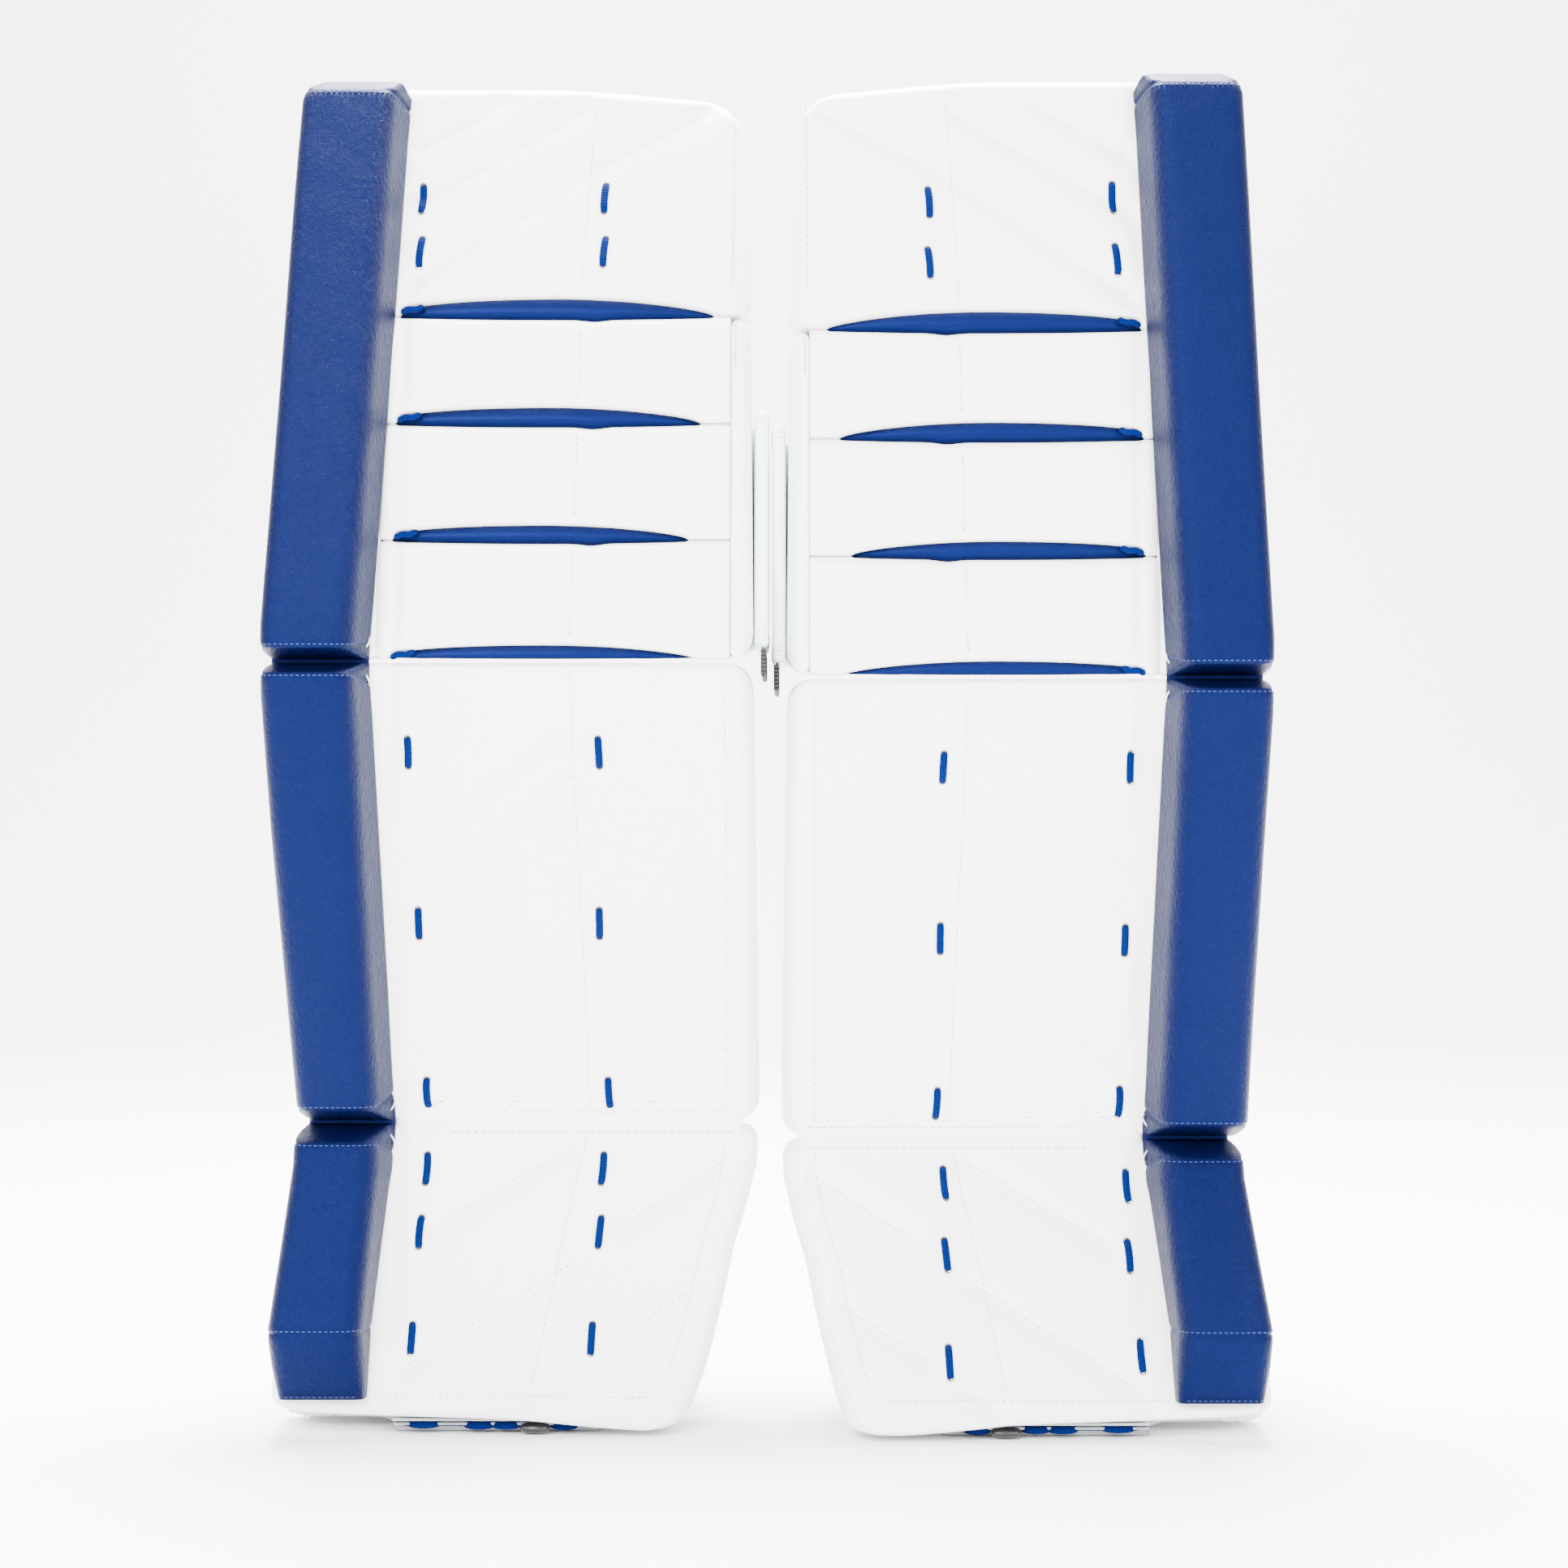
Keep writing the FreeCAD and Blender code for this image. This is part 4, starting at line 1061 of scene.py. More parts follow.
def build_ankle_bridge(pad, shape):
    """Leather that runs on over the boot break, so that the front has no gap there."""
    reach = 11 * MM
    surface = Surface()
    above = relief("shin", pad.knee, shape)
    below = relief("boot", pad.ankle, shape)
    x = np.linspace(15 * MM, 207 * MM, 97)
    rings = []
    for rise in np.linspace(-reach, reach, 23):
        z = np.full(len(x), pad.ankle + rise)
        share = float(ease(-reach, reach, rise))
        swell = below(x, z) * (1 - share) + above(x, z) * share
        part = "boot" if rise < 0 else "shin"
        edge = np.minimum(1, np.minimum(x - x[0], x[-1] - x) / (6 * MM))
        sunk = 1.2 * MM * (abs(rise) / reach) ** 6 + 2.5 * MM * (1 - edge) ** 2
        crease = 0.5 * MM * math.exp(-(rise / (3 * MM)) ** 2)
        front = pad.place(x, -swell - 0.35 * MM + sunk + crease, z, part)
        back = pad.place(x, 0 * x + 3.5 * MM, z, part)
        rings.append(np.vstack([front, back[::-1]]))
    surface.rings(np.array(rings))
    strip = surface.build(pad.name("ankle_bridge"), [finish("white_leather")])
    start, end = (tuple(pad.place(110 * MM, 0, pad.ankle + rise, "shin")) for rise in (-9 * MM, 9 * MM))
    pad.name("boot")
    pad.name("shin")
    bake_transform(strip)
    declare(strip)
    for part, rise in (("boot", -5.5 * MM), ("shin", 5.5 * MM)):
        threads = Surface()
        line = np.linspace(20 * MM, 176 * MM, 70)
        z = np.full(70, pad.ankle + rise)
        swell = below(line, z) if part == "boot" else above(line, z)
        threads.stitches(pad.place(line, -swell - 0.5 * MM, z, part), shape.stitch_pitch,
                         shape.stitch_length, shape.thread)
        piece = threads.build(pad.name(f"ankle_stitching_{part}"), [finish("white_thread")])
        settle(piece, pad.name(part))


# ------------------------------------------------------------------ outer rolls
ROLL_SLANT = 9 * MM


class Roll:
    """One outer roll segment: its span, how its two ends fall away and its edges in x."""

    def __init__(self, body, node, span, runs, proud_ends, sags, inner_at, outer_at, slants=(1, 1)):
        self.body = body
        self.node = node
        self.span = span
        self.runs = runs
        self.proud_ends = proud_ends
        self.sags = sags
        self.inner_at = inner_at
        self.outer_at = outer_at
        self.slants = slants

    def heights(self, spacing):
        """Row heights, closer together round the two cap seams."""
        low, high = self.span
        rows = [low + self.runs[0] * np.linspace(0, 1, 9), high - self.runs[1] * np.linspace(0, 1, 9)]
        for seam in (low + self.runs[0], high - self.runs[1]):
            rows.append(seam + np.array([-1.6, -0.8, 0.8, 1.6, 3]) * MM)
        first, last = low + self.runs[0] + 5 * MM, high - self.runs[1] - 5 * MM
        rows.append(np.linspace(first, last, int((last - first) / spacing)))
        return np.unique(np.concatenate(rows).round(6))

    def ring(self, z, shape, lift=0):
        """The roll's outline at a height, open at its base, and its sag near the caps."""
        low, high = self.span
        near_low = float(np.clip((z - low) / self.runs[0], 0, 1))
        near_high = float(np.clip((high - z) / self.runs[1], 0, 1))
        full = shape.roll_proud
        proud = full - (full - self.proud_ends[0]) * (1 - near_low) ** 1.15
        proud -= (full - self.proud_ends[1]) * (1 - near_high) ** 1.15
        share = (z - low) / (high - low)
        inner, outer = float(self.inner_at(z)), float(self.outer_at(z))
        pull = 5 * MM * ((1 - near_low) ** 2 * (self.runs[0] < 20 * MM) + (1 - near_high) ** 2)
        seam_low = math.exp(-((z - low - self.runs[0]) / (1.3 * MM)) ** 2)
        seam_high = math.exp(-((z - high + self.runs[1]) / (1.3 * MM)) ** 2)
        groove = 0.8 * MM * max(seam_low, seam_high) - lift
        outer -= pull + groove
        inner += groove
        slant = ROLL_SLANT * proud / full * float(np.interp(share, [0, 1], self.slants))
        corners = ((inner, -0.3 * MM), (inner + slant, -proud + groove), (outer - 0.6 * MM, -proud + groove),
                   (outer, -0.3 * MM))
        soft = min(10 * MM, proud * 0.6)
        line = rounded(corners, (soft, min(8.5 * MM, proud * 0.5)), 76)
        x, depth = line[:, 0], line[:, 1]
        across = np.clip((x - inner) / (outer - inner), 0, 1)
        crown = 1.3 * MM * math.sin(math.pi * min(max(share, 0.0), 1.0)) ** 0.4 * np.sin(math.pi * across)
        depth = depth - crown * (proud > 12 * MM) * ease(0.5 * proud, 0.9 * proud, -depth)
        depth = depth + 0.22 * MM * ripple(x, np.full(len(x), z), 26 * MM, 11) * (proud > 12 * MM)
        side = np.clip((inner + slant - x) / slant, 0, 1) ** 1.3
        outside = (x > outer - 1 * MM) * np.clip(1 + depth / proud, 0, 1) * 0.35
        near = 1 - ease(self.runs[0], self.runs[0] + 28 * MM, z - low)
        far = 1 - ease(self.runs[1], self.runs[1] + 28 * MM, high - z)
        sag = (self.sags[0] * near - self.sags[1] * far) * (side + outside)
        return x, np.minimum(depth, -0.3 * MM), z + sag

    def build(self, pad, shape):
        surface, threads = Surface(), Surface()
        rings = []
        for z in self.heights(shape.spacing):
            x, depth, level = self.ring(z, shape)
            share = np.linspace(0, 1, 16)[1:-1]
            x = np.concatenate([x, x[-1] + (x[0] - x[-1]) * share])
            depth = np.concatenate([depth, np.full(len(share), -0.3 * MM)])
            level = np.concatenate([level, level[-1] + (level[0] - level[-1]) * share])
            rings.append(pad.place(x, depth, level, self.body))
        surface.rings(np.array(rings))
        roll = surface.build(pad.name(f"{self.node}_skin"), [finish("blue_leather")])
        settle(roll, pad.name(self.body), [pad.name(self.node)])
        low, high = self.span
        for z in (low + self.runs[0], high - self.runs[1]):
            toward = -1.5 * MM if z > (low + high) / 2 else 1.5 * MM
            x, depth, level = self.ring(z + toward, shape, 0.15 * MM)
            threads.stitches(pad.place(x, depth, level, self.body)[4:-4], 3.0 * MM, 2.0 * MM, 0.5 * MM)
        if self.proud_ends[0] > 6 * MM:
            x, depth, level = self.ring(low + 1.5 * MM, shape, 0.15 * MM)
            threads.stitches(pad.place(x, depth, level, self.body)[14:-10], 3.0 * MM, 2.0 * MM, 0.5 * MM)
        settle(threads.build(pad.name(f"{self.node}_stitching"), [finish("blue_thread")]),
               pad.name(self.body))


def build_rolls(pad, shape):
    knee, ankle = pad.knee, pad.ankle

    def upper_outer(z):
        places = [knee, knee + 0.02, knee + 0.152, knee + 0.262, pad.top - 0.012, pad.top]
        return np.interp(z, places, [0.272, 0.2725, 0.267, 0.263, 0.2605, 0.257])

    def upper_inner(z):
        return np.interp(z, [knee, pad.top - 0.1, pad.top], [0.2155, 0.2055, 0.2015])

    def middle_outer(z):
        places = [ankle, ankle + 0.069, ankle + 0.159, knee - 0.02, knee]
        wider = {"left": 2.5 * MM, "right": -2 * MM}[pad.side]
        return np.interp(z, places, [0.260 + wider, 0.2635 + wider / 2, 0.2685, 0.272, 0.272])

    def middle_inner(z):
        return np.interp(z, [ankle, ankle + 0.07, knee], [0.207, 0.209, 0.2155])

    def lower_outer(z):
        return np.interp(np.interp(z, [0, 0.06, ankle], [0, 0.06, 0.166]), *ROLL_TOE_OUTER)

    def lower_inner(z):
        return np.interp(np.interp(z, [0, 0.06, ankle], [0, 0.06, 0.166]), *ROLL_TOE_INNER)

    thigh = Roll("thigh", "outer_roll_upper", (knee + 0.8 * MM, pad.top), (6 * MM, 7 * MM),
                 (2.5 * MM, 13 * MM), (4 * MM, 8 * MM), upper_inner, upper_outer)
    shin = Roll("shin", "outer_roll_middle", (ankle + 0.8 * MM, knee - 0.8 * MM), (8 * MM, 6 * MM),
                (2.5 * MM, 2.5 * MM), (7 * MM, 5 * MM), middle_inner, middle_outer)
    boot = Roll("boot", "outer_roll_lower", (22 * MM, ankle - 0.8 * MM), (36 * MM, 8 * MM),
                (9 * MM, 2.5 * MM), (0, 7 * MM), lower_inner, lower_outer, (0.25, 1))
    for roll in (thigh, shin, boot):
        roll.build(pad, shape)


def build_webs(pad, shape):
    """Blue leather that bridges each break under the roll ends, with white piping at its sides."""
    for lower, upper, level, inner, outer in (("shin", "thigh", pad.knee, 215.5 * MM, 268 * MM),
                                              ("boot", "shin", pad.ankle, 206.5 * MM, 254 * MM)):
        def place(x, depth, z):
            x, depth, z = np.broadcast_arrays(x, depth, z)
            return np.where((z < level)[..., None], pad.place(x, depth, z, lower),
                            pad.place(x, depth, z, upper))

        surface = Surface()
        rings = []
        for z in np.linspace(-12 * MM, 12 * MM, 17):
            x = np.linspace(inner, outer, 30)
            edge = np.minimum(1, np.minimum(x - inner, outer - x) / (2.5 * MM))
            rise = (1.5 * MM + 2.6 * MM * abs(z) / (12 * MM)) * np.sqrt(np.clip(edge, 0, 1)) + 0.2 * MM
            over = np.concatenate([x, x[::-1]])
            depth = np.concatenate([-rise, np.full(30, 0.1 * MM)])
            rings.append(place(over, depth, level + z))
        surface.rings(np.array(rings))
        web = surface.build(pad.name(f"{lower}_web"), [finish("blue_leather")])
        start, end = place(240 * MM, 0, level - 9 * MM), place(240 * MM, 0, level + 9 * MM)
        pad.name(lower)
        pad.name(upper)
        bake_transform(web)
        declare(web)
        for body, up in ((lower, -1), (upper, 1)):
            piping = Surface()
            t = np.linspace(0, 1, 18)
            x = inner - 0.6 * MM + 17 * MM * (1 - np.cos(t * math.pi / 2))
            z = level + up * (13 * MM - 11.4 * MM * np.sin(t * math.pi / 2))
            piping.tube(pad.place(x, -2.0 * MM - 2.4 * MM * (1 - t), z, body), 0.9 * MM, sides=8)
            piece = piping.build(pad.name(f"{lower}_web_piping_{body}"), [finish("white_piping")])
            settle(piece, pad.name(body))


# ------------------------------------------------------------------ laces and toe
# How far the top of a lace stitch leans away from the middle of the pad.
LACE_LEANS = {"thigh": -0.6 * MM, "shin": 0.2 * MM, "boot": -0.5 * MM}
# Middles of the lace stitches: x, then height over the knee break, or over the boot break for
# the boot. They were laced by hand, so the two pads differ by a few millimetres.
LACE_STITCHES = {
    "left": {"thigh": ((87.5, 263.5), (189.5, 266.5), (87.5, 229.5), (191, 231.5)),
             "shin": ((94.5, -49), (196.5, -49), (93.5, -143), (195, -144), (92, -235), (193, -234)),
             "boot": ((96, -24), (196.5, -25.5), (96, -61), (195.5, -61.5), (96.5, -115), (200, -112))},
    "right": {"thigh": ((92, 260), (194, 260), (92, 229), (194, 229)),
              "shin": ((92.5, -49), (195.5, -49), (93, -142), (191.5, -142), (88.5, -236), (188.5, -236)),
              "boot": ((92, -25), (188.5, -25), (93, -58.5), (191, -58.5), (96.5, -114), (194, -114))},
}


def build_laces(pad, shape):
    """Braided lace stitches, each out of one eyelet and into the next."""
    spread = np.random.default_rng(7)
    ring = np.linspace(0, 2 * math.pi, 15)
    for part, middles in LACE_STITCHES[pad.side].items():
        laces = Surface()
        base = pad.ankle if part == "boot" else pad.knee
        swell = relief(part, base, shape)
        for column, level in middles:
            lean = spread.uniform(-0.35, 0.35) * MM + LACE_LEANS[part]
            bow = spread.uniform(-0.5, 0.5) * MM
            t = np.linspace(-1, 1, 21)
            x = column * MM + lean * t + bow * (1 - t * t)
            z = base + level * MM + 8.2 * MM * t
            depth = -swell(x, z) - 1.0 * MM + 2.9 * MM * np.abs(t) ** 6
            laces.tube(pad.place(x, depth, z, part), 4.1 * MM, 2.6 * MM, sides=16)
            for end in (0, -1):
                centre_z = z[end] - 0.5 * MM * np.sign(t[end])
                around_x, around_z = x[end] + 2.1 * MM * np.cos(ring), centre_z + 1.8 * MM * np.sin(ring)
                flat = -swell(around_x, around_z)
                rim = pad.place(around_x, flat - 0.1 * MM, around_z, part)
                laces.tube(rim, 0.7 * MM, sides=6, look=2, taper=False)
                # Painted shadow: a flat dark disc inside the rim stands in for the shade down the eyelet
                # hole.
                inside = pad.place(x[end] + 0.6 * MM * np.cos(ring), flat - 0.1 * MM,
                                   centre_z + 0.6 * MM * np.sin(ring), part)
                laces.rings(np.array([rim[:-1], inside[:-1]]), caps=(False, True), look=1)
        looks = [finish("blue_lace"), finish("dark_hole"), finish("white_thread")]
        piece = laces.build(pad.name(f"{part}_lacing"), looks)
        node = [pad.name(f"{part}_laces")] if part != "boot" else []
        settle(piece, pad.name(part), node)
    ends = Surface()
    for index in range(4):
        t = np.linspace(-1, 1, 15)
        x = SLOT_END - 7 * MM + 6 * MM * t
        roof = pad.knee + CREASES[index] + ARCHES[index] * 0.42
        z = roof - 1.4 * MM * t + 0.5 * MM * np.sin(4 * t)
        depth = 0.4 * MM + 2.6 * MM * np.abs(t) ** 3
        ends.tube(pad.place(x, depth, z, "thigh"), 3.4 * MM, 2.4 * MM, sides=12)
    settle(ends.build(pad.name("slot_lacing"), [finish("blue_lace")]), pad.name("thigh"))


def build_toe(pad, shape):
    """The grey bridge plate under the toe, its lace and the domed cord lock."""
    low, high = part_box(pad.name("toe_bridge"))
    body = pad.name("boot")
    across = np.linspace(93 * MM, 204 * MM, 50)
    slope = (high.z - low.z - 3 * MM) / (high.y - low.y)
    lip_y = low.y + 13.5 * MM

    def sheet(line, thick):
        """A sheet across the bridge whose side view is a line of (y, z) points."""
        line = np.asarray(line, float)
        along = np.gradient(line, axis=0)
        along /= np.linalg.norm(along, axis=1)[:, None]
        under = line + np.stack([along[:, 1], -along[:, 0]], axis=1) * thick
        profile = np.vstack([line, under[::-1]])
        return np.array([[(pad.sign * x, y, z) for y, z in profile] for x in across])

    def top(y):
        return high.z - 0.3 * MM - slope * (y - low.y)

    surface = Surface()
    surface.rings(sheet([(y, top(y)) for y in np.linspace(low.y, high.y, 14)], 1.5 * MM))
    turn = np.linspace(0, math.pi / 2, 7)
    bend = [(lip_y - 3 * MM + 3 * MM * math.sin(a), top(lip_y) - 4 * MM + 3 * MM * math.cos(a)) for a in turn]
    surface.rings(sheet([(lip_y - 8 * MM, bend[0][1])] + bend + [(lip_y, 0.8 * MM)], 1.3 * MM))
    plate = surface.build(pad.name("toe_plate"), [finish("grey_plate")])
    settle(plate, body, [pad.name("toe_bridge")])

    laces = Surface()
    middle = low.y + 5.5 * MM
    for start, end, lift in ((105, 118, 0.0), (136, 150, 0.4), (150, 165, 0.4), (179, 196, 1.0)):
        t = np.linspace(-1, 1, 21)
        x = ((start + end) / 2 + (end - start) / 2 * t) * MM
        bow = np.sqrt(np.clip(1 - t ** 2, 0, 1))
        y = middle + 4 * MM - 5 * MM * bow
        z = 5.2 * MM + lift * MM - 0.8 * MM * bow
        laces.tube(np.stack([pad.sign * x, y, z], axis=1), 4.2 * MM, 2.6 * MM, sides=12, up=(0, -1, 0.2))
    run = np.linspace(97 * MM, 200 * MM, 60)
    back = np.stack([pad.sign * run, 0 * run + low.y + 11 * MM, 0 * run + 5.2 * MM], axis=1)
    laces.tube(back, 3.6 * MM, 1.2 * MM, sides=10, up=(0, -1, 0))
    piece = laces.build(pad.name("toe_lacing"), [finish("blue_lace")])
    settle(piece, body, [pad.name("boot_laces")])

    low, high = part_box(pad.name("toe_toggle"))
    centre = (np.array(low) + np.array(high)) / 2
    size = (np.array(high) - np.array(low)) / 2
    dome = Surface()
    around = np.linspace(0, 2 * math.pi, 32, endpoint=False)
    rings = []
    for angle in np.linspace(-math.pi / 2 + 0.04, math.pi / 2 - 0.04, 21):
        full = math.cos(angle) ** 0.5
        reach = math.copysign(abs(math.sin(angle)) ** 0.8, angle)
        rings.append(np.stack([0 * around + centre[0] + size[0] * reach,
                               centre[1] - 1 * MM + (size[1] - 1 * MM) * full * np.sin(around),
                               centre[2] + size[2] * 0.96 * full * np.cos(around)], axis=1))
    dome.rings(np.array(rings))
    collar = [(centre[0] + pad.sign * size[0] * 0.5, centre[1] - 1 * MM + size[1] * 0.86 * math.sin(a),
               centre[2] + size[2] * 0.88 * math.cos(a)) for a in np.linspace(0, 2 * math.pi, 33)]
    dome.tube(collar, 0.8 * MM, sides=6, up=(1, 0, 0), taper=False)
    piece = dome.build(pad.name("toggle_dome"), [finish("black_plastic")])
    settle(piece, pad.name("toggle"), [pad.name("toe_toggle")])


# ------------------------------------------------------------------ back of the pads
def pillow(pad, part, limits, levels, depths, radius):
    """Rings of a plain firm panel between x limits, heights and depths."""
    inner, outer = limits
    low, high = levels
    near, far = depths

    def bottom(x, depth):
        return low + 0 * x * depth

    def top(x, depth):
        return high + 0 * x * depth

    def flat(x, z):
        return 0 * x * z

    radius = min(radius, (outer - inner) * 0.4, (far - near) * 0.4)
    counts = (max(8, int((outer - inner) / (3 * MM))), max(6, int((far - near) / (3 * MM))), 5,
              max(6, int((high - low) / (3 * MM))))
    return slab(pad, part, lambda z: (inner, outer), (bottom, top), near, far, flat, radius,
                ((radius, radius),) * 4, counts)


def evaluated(piece):
    """The piece's points and faces with its modifiers applied."""
    view = bpy.context.evaluated_depsgraph_get()
    mesh = piece.evaluated_get(view).to_mesh()
    points = np.array([vertex.co[:] for vertex in mesh.vertices])
    faces = [tuple(face.vertices) for face in mesh.polygons]
    piece.evaluated_get(view).to_mesh_clear()
    return points, faces


CLOTH_PRESSURE = 4
SWELL_FRAMES = 20


class Cushion:
    """A foam panel in cloth: simulated once at the size given, then placed on both pads."""

    made = {}

    def __init__(self, size, grip, voxel):
        self.size = np.array(size)
        self.grip = grip
        self.voxel = voxel

    def scratch(self, points, faces):
        mesh = bpy.data.meshes.new("cushion_blank")
        mesh.from_pydata([tuple(point) for point in points], [], faces)
        piece = bpy.data.objects.new("cushion_blank", mesh)
        bpy.context.scene.collection.objects.link(piece)
        return piece

    def swell(self, name):
        """Points from -0.5 to 0.5 of the size, and faces, kept for the second pad."""
        if name in self.made:
            return self.made[name]
        half = self.size / 2 - self.grip
        corners = [(x, y, z) for x in (-1, 1) for y in (-1, 1) for z in (-1, 1)]
        sides = [(0, 1, 3, 2), (4, 6, 7, 5), (0, 4, 5, 1), (2, 3, 7, 6), (0, 2, 6, 4), (1, 5, 7, 3)]
        blank = self.scratch(np.array(corners) * half, sides)
        remesh = blank.modifiers.new("remesh", "REMESH")
        remesh.mode = "VOXEL"
        remesh.voxel_size = self.voxel
        points, faces = evaluated(blank)
        bpy.data.objects.remove(blank)
        piece = self.scratch(points, faces)
        held = piece.vertex_groups.new(name="held")
        near_edge = (np.abs(points) > half - 1.2 * self.voxel).sum(axis=1) > 1
        held.add([int(i) for i in np.flatnonzero(near_edge)], 0.6, "REPLACE")
        cloth = piece.modifiers.new("cloth", "CLOTH")
        cloth.settings.use_pressure = True
        cloth.settings.uniform_pressure_force = CLOTH_PRESSURE
        cloth.settings.vertex_group_mass = "held"
        cloth.settings.effector_weights.gravity = 0
        for number in range(1, SWELL_FRAMES + 1):
            bpy.context.scene.frame_set(number)
        swollen, _ = evaluated(piece)
        bpy.context.scene.frame_set(1)
        bpy.data.objects.remove(piece)
        shift = swollen - points
        far = np.linalg.norm(shift, axis=1)
        points = points + shift * (np.minimum(far, 2 * self.grip) / np.maximum(far, 1e-9))[:, None]
        smooth = self.scratch(points, faces)
        smooth.modifiers.new("smooth", "SUBSURF").levels = 1
        points, faces = evaluated(smooth)
        bpy.data.objects.remove(smooth)
        self.made[name] = np.clip(points / self.size, -0.5, 0.5), faces
        return self.made[name]


def quilt(z, levels, depth, width):
    """How far sewn channels at the given heights pull a cushion in."""
    cut = np.zeros(z.shape)
    for level in levels:
        cut = np.maximum(cut, depth * np.exp(-((z - level) / width) ** 2))
    return cut


def build_cushion(pad, part, body, node, limits, levels, depths, look, channels=(), grip=1.5 * MM,
                  voxel=5 * MM, name=None, replaces=True):
    """A sewn cushion between x limits, heights and depths behind the face, with piped edges."""
    size = (limits[1] - limits[0], depths[1] - depths[0], levels[1] - levels[0])
    shares, faces = Cushion(size, grip, voxel).swell(name or node)
    x = (limits[0] + limits[1]) / 2 + shares[:, 0] * size[0]
    depth = (depths[0] + depths[1]) / 2 + shares[:, 1] * size[1]
    z = (levels[0] + levels[1]) / 2 + shares[:, 2] * size[2]
    if channels:
        outward = ease(0.1, 0.45, shares[:, 1])
        depth = depth - quilt(z, [levels[0] + channel for channel in channels], 4 * MM, 4 * MM) * outward
    surface = Surface()
    surface.add(pad.place(x, depth, z, part), faces)
    threads = Surface()
    inset = 5 * MM
    if size[0] > 60 * MM:
        corners = [(limits[0] + inset, levels[0] + inset), (limits[1] - inset, levels[0] + inset),
                   (limits[1] - inset, levels[1] - inset), (limits[0] + inset, levels[1] - inset),
                   (limits[0] + inset, levels[0] + inset)]
        border = resample(corners, 4 * MM)
        points = pad.place(border[:, 0], depths[1] - 2.2 * MM, border[:, 1], part)
        surface.tube(points, 2.6 * MM, sides=8, taper=False)
    else:
        for side, x_place in ((1, limits[1] - 0.9 * MM), (-1, limits[0] + 0.9 * MM)):
            corners = [(depths[0] + inset, levels[0] + inset), (depths[1] - inset, levels[0] + inset),
                       (depths[1] - inset, levels[1] - inset), (depths[0] + inset, levels[1] - inset),
                       (depths[0] + inset, levels[0] + inset)]
            border = resample(corners, 3 * MM)
            threads.stitches(pad.place(x_place + side * 0.5 * MM, border[:, 0], border[:, 1], part),
                             3.4 * MM, 2.4 * MM, 0.6 * MM)
    piece = surface.build(pad.name(f"{name or node}_skin"), [finish(look)])
    settle(piece, pad.name(body), [pad.name(node)] if replaces else [])
    if threads.count:
        settle(threads.build(pad.name(f"{name or node}_stitching"), [finish("white_thread")]),
               pad.name(body))
    return piece


def build_back(pad, shape):
    """Cushions and risers against the leg, and the wings beside it."""
    knee = pad.knee
    riser = {"levels": (0.2 * MM, 119.5 * MM), "depths": (DEPTH + 0.5 * MM, DEPTH + 51.5 * MM),
             "look": "dark_lining", "voxel": 5 * MM, "grip": 3 * MM}
    build_cushion(pad, "boot", "boot", "boot_channel", (45.3 * MM, 74.7 * MM), name="boot_riser_inner",
                  **riser)
    build_cushion(pad, "boot", "boot", "boot_channel", (190.3 * MM, 219.7 * MM), name="boot_riser_outer",
                  replaces=False, **riser)
    across, thick = (66 * MM, 200 * MM), (DEPTH + 0.5 * MM, DEPTH + 13.8 * MM)
    build_cushion(pad, "shin", "shin", "shin_cushion", across, (knee - 215 * MM, knee - 20 * MM), thick,
                  "dark_lining", (48 * MM, 97 * MM, 147 * MM), 3 * MM)
    build_cushion(pad, "thigh", "thigh", "knee_cushion", across, (knee + 14 * MM, knee + 144 * MM), thick,
                  "dark_lining", (43 * MM, 87 * MM), 3 * MM)
    calf = (knee - 200 * MM, knee - 44 * MM)
    build_cushion(pad, "shin", "calf_wing_outer", "calf_wing_outer", (212.2 * MM, 221.8 * MM), calf,
                  (DEPTH + 0.6 * MM, DEPTH + 94.7 * MM), "white_leather", voxel=4 * MM)
    build_cushion(pad, "shin", "calf_wing_inner", "calf_wing_inner", (48.2 * MM, 57.8 * MM), calf,
                  (DEPTH + 0.6 * MM, DEPTH + 93.8 * MM), "white_leather", voxel=4 * MM)
    build_cushion(pad, "thigh", "knee_wing", "knee_wing", (212.2 * MM, 221.8 * MM),
                  (knee + 16 * MM, knee + 142 * MM), (DEPTH + 0.6 * MM, DEPTH + 84.7 * MM), "white_leather",
                  voxel=4 * MM)


